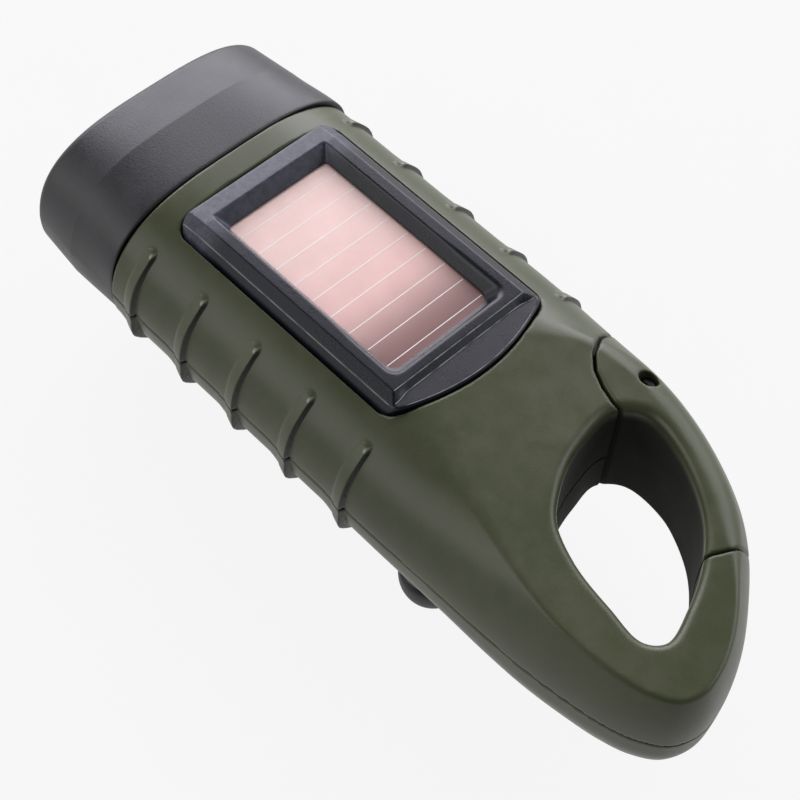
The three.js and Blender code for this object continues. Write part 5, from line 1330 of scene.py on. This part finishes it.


# Painted highlights on the rib tips, painted shade at the rib feet and on the walls of the hook's
# opening.
green_layers = [
    (rib_tip_painted_highlight, srgb(172, 176, 160)),
    (rib_foot_painted_shade, srgb(20, 22, 16)),
    (opening_shade, srgb(18, 19, 15)),
]
# The frame's front end is paler in patches, and its edges carry painted highlights.
bezel_layers = [(bezel_front_paling, srgb(88, 90, 104)), (bezel_edge_highlights, srgb(176, 176, 178))]
green = moulded(
    "green_shell", srgb(68, 73, 50), srgb(78, 82, 60), 0.34, 0.00002,
    green_layers, dull=opening_shade,
)
head_black = moulded("head_black", srgb(30, 30, 34), srgb(40, 40, 45), 0.4, 0.00005, shine=0.5)
bezel_black = moulded(
    "bezel_black", srgb(20, 23, 31), srgb(28, 31, 40), 0.3, 0.00003, bezel_layers
)
crank_black = moulded("crank_black", srgb(26, 26, 29), srgb(36, 36, 39), 0.46, 0.00004)
rubber = moulded("button_rubber", srgb(30, 30, 32), srgb(40, 40, 42), 0.75, 0.00008)
nylon = moulded("gear_nylon", srgb(226, 222, 208), srgb(214, 208, 190), 0.45, 0.00002)
foam = moulded("panel_foam", srgb(30, 30, 30), srgb(44, 44, 44), 0.95, 0.0002)
print("nodes in the green finish:", len(green.node_tree.nodes))

# %% [markdown]
# A solar panel of this kind is a strip of cells under clear resin. Thin pale lines of
# printed silver collect the current between the cells. An image could hold them, and would
# blur from close by. The lines sit at even steps along the panel, so the distance to the
# nearest step draws all of them, sharp at any size. The cells are brown, their own colour,
# and towards the front they are painted pale pink, a painted reflection.

# %% Solar panel
FIRST_LINE, LINE_PITCH, LINE_EDGE = 24.35, 4.1, (0.04, 0.1)
LINES_FRONT, LINES_REAR = 24.9, -9.3
# Where the painted reflection on the cells brightens, and where it fades into their own brown.
REFLECTION_BRIGHTEST, REFLECTION_FADE = (0, 16), (-5, 9)


def panel_finish():
    finish = Finish("solar_cells", Coat_Weight=1.0, Coat_Roughness=0.03, Roughness=0.3)
    x, y, z = place(finish)
    # Painted reflection: pale pink towards the front, fading into the cells' own brown towards the
    # rear.
    forward = (x - 2).ramp(*REFLECTION_BRIGHTEST)
    cells = finish.blend(forward, srgb(240, 198, 191), srgb(246, 212, 204))
    cells = finish.blend((x * -1).ramp(*REFLECTION_FADE), cells, srgb(136, 99, 95))
    cloud = finish.noise(130, 4, roughness=0.65).ramp(0.3, 0.7)
    cells = finish.blend(cloud * 0.1, cells, srgb(120, 84, 82))
    near = 1 - (x - FIRST_LINE).wrap(LINE_PITCH).ramp(*LINE_EDGE)
    across = 1 - y.abs().ramp(WINDOW_SIDE, WINDOW_SIDE + 0.1)
    within = across * (1 - (x - LINES_FRONT).ramp(0, 0.1)) * (x - LINES_REAR).ramp(0, 0.1)
    line = near * within
    cells = finish.blend(line, cells, (1.0, 0.98, 0.95))
    return finish.feed(Base_Color=cells, Normal=finish.bump(line, 0.00003))


solar = panel_finish()
print("nodes in the solar finish:", len(solar.node_tree.nodes))

# %% [markdown]
# The metals are bare steel, bright plating, copper and a sintered magnet. A metal is told
# by what it mirrors, so its colour is nearly even and its gloss varies. Noise stretched
# along one axis gives the steel its drawn marks, and noise squeezed along it gives the
# coil its turns. The lens, the lamps, the board and the battery's wrap each get a finish
# of their own.

# %% Metals, clear pieces and the works
def metal(name, colour, worn, roughness, stretch, grain=0.00001):
    finish = Finish(name, Metallic=1.0)
    drawn_out = finish.node("ShaderNodeMapping", Vector=finish.where, Scale=stretch)
    streak = finish.noise(2600, 3, where=drawn_out)
    stain = finish.noise(300, 3).ramp(0.35, 0.7)
    tint = finish.blend(stain, colour, worn)
    gloss = streak * 0.2 + stain * 0.12 + (roughness - 0.14)
    return finish.feed(Base_Color=tint, Roughness=gloss, Normal=finish.bump(streak, grain))


EVEN, UP_AND_DOWN, WOUND = (1, 1, 1), (1, 1, 0.2), (1, 1, 9)
steel = metal("bare_steel", srgb(178, 180, 184), srgb(150, 152, 156), 0.3, UP_AND_DOWN)
chrome = metal("bright_plating", srgb(226, 228, 230), srgb(214, 216, 219), 0.14, EVEN, 0.000002)
copper = metal("copper_wire", srgb(196, 112, 68), srgb(160, 84, 50), 0.35, WOUND, 0.00006)
magnet_dark = metal("sintered_magnet", srgb(88, 90, 96), srgb(70, 72, 78), 0.5, EVEN, 0.00003)


CHIP = (0.9, 1.5)
TRACKS_APART, TRACK_EDGE, WEAVE = (2.6, 3.4), (0.18, 0.26), 0.5
WRAP_SEAM = (2.7, 3.3)


def clear_finish():
    finish = Finish("clear_lens", Transmission_Weight=1.0, IOR=1.49)
    haze = finish.noise(90, 3).ramp(0.3, 0.8)
    tint = finish.blend(haze, (0.97, 0.98, 0.99), (0.92, 0.94, 0.95))
    scratch = finish.node("ShaderNodeMapping", Vector=finish.where, Scale=(1, 0.15, 1))
    marks = finish.noise(1500, 4, where=scratch).ramp(0.62, 0.7)
    return finish.feed(Base_Color=tint, Roughness=haze * 0.03 + marks * 0.12 + 0.02)


def lamp_finish():
    finish = Finish("lamp_epoxy", Coat_Weight=1.0, Coat_Roughness=0.03, Roughness=0.2)
    x, y, z = place(finish)
    chip = y.wrap(BOWL_PITCH)
    away = (chip * chip + z * z) ** 0.5
    tint = finish.blend(away.ramp(*CHIP), srgb(238, 206, 70), srgb(222, 226, 226))
    swirl = finish.noise(900, 3)
    tint = finish.blend(swirl.ramp(0.4, 0.8) * 0.2, tint, srgb(180, 184, 190))
    return finish.feed(Base_Color=tint, Normal=finish.bump(swirl, 0.00001))


def board_finish():
    finish = Finish("circuit_board", Coat_Weight=0.6, Coat_Roughness=0.2)
    x, y, z = place(finish)
    tracks_x = 1 - x.wrap(TRACKS_APART[0]).ramp(*TRACK_EDGE)
    tracks_y = 1 - y.wrap(TRACKS_APART[1]).ramp(*TRACK_EDGE)
    choice = finish.noise(110, 1).ramp(0.48, 0.52)
    tracks = tracks_x * choice + tracks_y * (1 - choice)
    tint = finish.blend(tracks, srgb(28, 84, 50), srgb(52, 122, 76))
    weave = (x.wrap(WEAVE) + y.wrap(WEAVE)) * 2
    height = tracks + weave * 0.2
    gloss = finish.noise(500, 3) * 0.2 + 0.35
    return finish.feed(Base_Color=tint, Roughness=gloss, Normal=finish.bump(height, 0.00003))


def wrap_finish():
    finish = Finish("battery_wrap", Coat_Weight=0.5, Coat_Roughness=0.15)
    x, y, z = place(finish)
    folds = finish.noise(420, 3, roughness=0.6)
    edge = (1 - y.abs().ramp(*WRAP_SEAM)) * 0.15
    tint = finish.blend(folds.ramp(0.3, 0.8) * 0.4 + edge, srgb(58, 108, 84), srgb(88, 140, 112))
    gloss = folds * 0.25 + 0.25
    return finish.feed(Base_Color=tint, Roughness=gloss, Normal=finish.bump(folds, 0.0001))


clear = clear_finish()
epoxy = lamp_finish()
board = board_finish()
wrap = wrap_finish()
print("finishes:", len(bpy.data.materials))

# %% [markdown]
# Now every piece goes into the scene. A piece made here rides on the CAD body of the node
# that it stands for. The solar panel, the lens and the works are flat or hidden, so they
# keep their CAD solids and only take a finish.

# %% Putting the pieces in
def turned_to_beam(mesh):
    """Turns an upright piece so that its axis points along the beam."""
    points_there, faces_there = mesh
    x, y, z = points_there.T
    return np.stack([z, y, -x], 1), faces_there


upper_mesh, lower_mesh = shell_meshes["upper_shell"], shell_meshes["lower_shell"]
piece("upper_body", *upper_mesh, "housing", "green_plastic", green, "upper_shell")
piece("lower_body", *lower_mesh, "housing", "green_plastic", green, "lower_shell")
piece("hook_gate", *gate_mesh, "gate", "green_plastic", green, "carabiner_gate")
piece("panel_frame", *bezel_mesh, "housing", "bezel_plastic", bezel_black, "solar_bezel")
piece("head", *head_mesh, "housing", "head_plastic", head_black, "head_cap")
piece("bowls", *reflector_mesh, "housing", "reflector_chrome", chrome, "reflector")
for number, side in enumerate((-1, 0, 1), 1):
    lamp = turned_to_beam(turned(lamp_profile, (0, side * BOWL_PITCH), 40))
    low, high = local_box(f"led_{number}")
    lamp[0][:, 1] += (low.y + high.y) / 2 - side * BOWL_PITCH
    piece(f"lamp_{number}", *lamp, "housing", "lamp_epoxy", epoxy, f"led_{number}")
piece("arm", *arm_mesh, "crank", "black_plastic", crank_black, "crank_arm")
piece("arm_screw", *arm_screw_mesh, "crank", "steel", steel, "crank_screw")
piece("knob", *knob_mesh, "knob", "black_plastic", crank_black, "crank_knob")
piece("knob_rivet", *rivet_mesh, "crank", "steel", steel, "knob_pin")
piece("button", *button_mesh, "button", "black_rubber", rubber, "switch_button")
piece("hinge_pin", pin_points, pin_faces, "housing", "steel", steel, "gate_pin")
for number, mesh in enumerate(screw_meshes, 1):
    piece(f"body_screw_{number}", *mesh, "housing", "steel", steel, f"housing_screw_{number}")

SLOT_FINISH = {
    "solar_film": solar,
    "foam": foam,
    "clear_lens": clear,
    "steel": steel,
    "circuit_board": board,
    "nylon": nylon,
    "copper_wire": copper,
    "magnet": magnet_dark,
    "battery_wrap": wrap,
    "black_plastic": crank_black,
    "black_rubber": rubber,
}
dressed = 0
for part in frame["record"]["subparts"]:
    finish = SLOT_FINISH.get(part["material_slot"])
    node = nodes.get(part["node"])
    if finish and node and not node.hide_render:
        node.data.materials.clear()
        node.data.materials.append(finish)
        dressed += 1
print("finishes on", dressed, "CAD nodes")

# %% [markdown]
# The floor is a large sheet just under the knob. A plain white sheet would come out uneven
# under the lamps and light the undersides too much. So most of what the camera sees of it,
# directly or through glass, is an even glow, with a faint shadow of the object. Mirrors see
# a little less of the glow, and for the light that bounces the sheet is plain grey.

# %% Floor
FLOOR_HALF, FLOOR_HEIGHT = 6.0, -0.0002
FLOOR_GREY, FLOOR_SPECK = (0.42, 0.42, 0.42), (0.4, 0.4, 0.4)
FLOOR_WHITE, MIRRORED_WHITE = 0.89, 0.8


def floor_finish():
    finish = Finish("pale_floor", Roughness=0.9)
    speck = finish.noise(60, 3).ramp(0.3, 0.7)
    finish.feed(Base_Color=finish.blend(speck, FLOOR_GREY, FLOOR_SPECK))
    tree = finish.tree
    glow = tree.nodes.new("ShaderNodeEmission")
    mix = tree.nodes.new("ShaderNodeMixShader")
    path = tree.nodes.new("ShaderNodeLightPath")
    camera_ray, glass_ray, mirror_ray = (
        Value(tree, path.outputs[f"Is {kind} Ray"]) for kind in ("Camera", "Transmission", "Glossy")
    )
    rays = camera_ray.at_least(glass_ray).at_least(mirror_ray * MIRRORED_WHITE)
    tree.links.new((rays * FLOOR_WHITE).socket, mix.inputs[0])
    tree.links.new(finish.shader.outputs[0], mix.inputs[1])
    tree.links.new(glow.outputs[0], mix.inputs[2])
    output = next(n for n in tree.nodes if n.bl_idname == "ShaderNodeOutputMaterial")
    tree.links.new(mix.outputs[0], output.inputs["Surface"])
    return finish.material


corners = [(-1, -1), (1, -1), (1, 1), (-1, 1)]
floor_mesh = bpy.data.meshes.new("floor")
floor_mesh.from_pydata(
    [(x * FLOOR_HALF, y * FLOOR_HALF, FLOOR_HEIGHT) for x, y in corners], [], [(0, 1, 2, 3)]
)
floor = bpy.data.objects.new("floor", floor_mesh)
floor.data.materials.append(floor_finish())
bpy.context.scene.collection.objects.link(floor)
print("floor:", 2 * FLOOR_HALF, "m wide")

# %% [markdown]
# The world is white for the camera and through glass. An even white world would light the
# object flat and grey out its dark plastic. So in mirrors it darkens overhead, and both in
# mirrors and as light it is brighter off the head and the right side than off the tail.

# %% Backdrop
AMBIENT, FAR_LIGHT, FAR_MIRRORED, MIRRORED, OVERHEAD = 0.4, 0.36, 0.6, 0.8, 0.14
OVERHEAD_FROM, FAR_WAY = (0.35, 0.7), (0.92, 0.38)

world = bpy.data.worlds.new("studio")
world.use_nodes = True
bpy.context.scene.world = world
sky = world.node_tree
sky.nodes.clear()
path = sky.nodes.new("ShaderNodeLightPath")
camera_ray = Value(sky, path.outputs["Is Camera Ray"])
glass_ray = Value(sky, path.outputs["Is Transmission Ray"])
mirror_ray = Value(sky, path.outputs["Is Glossy Ray"])
way = sky.nodes.new("ShaderNodeTexCoord")
parts = sky.nodes.new("ShaderNodeSeparateXYZ")
sky.links.new(way.outputs["Generated"], parts.inputs[0])
way_x, way_y, way_z = (Value(sky, parts.outputs[axis]) for axis in "XYZ")
far_side = way_x * FAR_WAY[0] - way_y * FAR_WAY[1]
overhead = 1 - way_z.ramp(*OVERHEAD_FROM) * (1 - OVERHEAD)
mirrored = overhead * (far_side * FAR_MIRRORED + MIRRORED)
strength = mirror_ray * mirrored + (1 - mirror_ray) * (far_side * FAR_LIGHT + AMBIENT)
background = sky.nodes.new("ShaderNodeBackground")
white = camera_ray.at_least(glass_ray)
sky.links.new(white.at_least(strength).socket, background.inputs["Strength"])
sky_output = sky.nodes.new("ShaderNodeOutputWorld")
sky.links.new(background.outputs[0], sky_output.inputs["Surface"])
print("nodes in the world:", len(sky.nodes))

# %% [markdown]
# Three softboxes light it. The key stands high off the head's right, where its reflection
# runs along the top edges. A second one off the tail's right lights the hook and the gate,
# and a weak one fills the left side.

# %% Softboxes
AIM = (0, 0, 0.03)


def softbox(name, at, size, power, tint=(1, 1, 1)):
    lamp = bpy.data.lights.new(name, "AREA")
    lamp.shape = "RECTANGLE"
    lamp.size, lamp.size_y = size
    lamp.energy = power
    lamp.color = tint
    holder = bpy.data.objects.new(name, lamp)
    holder.location = at
    aim = Vector(AIM) - Vector(at)
    holder.rotation_mode = "QUATERNION"
    holder.rotation_quaternion = aim.to_track_quat("-Z", "Y")
    bpy.context.scene.collection.objects.link(holder)


softbox("key", (0.73, -0.61, 0.57), (1.4, 0.7), 15.0, (0.93, 0.91, 1.0))
softbox("side", (-0.4, -0.95, 0.55), (1.2, 0.6), 5.5, (0.94, 0.95, 1.0))
softbox("fill", (0.5, 0.9, 0.6), (0.8, 0.8), 3.5)
bpy.context.scene.view_settings.view_transform = "Standard"
print("softboxes:", len(bpy.data.lights))
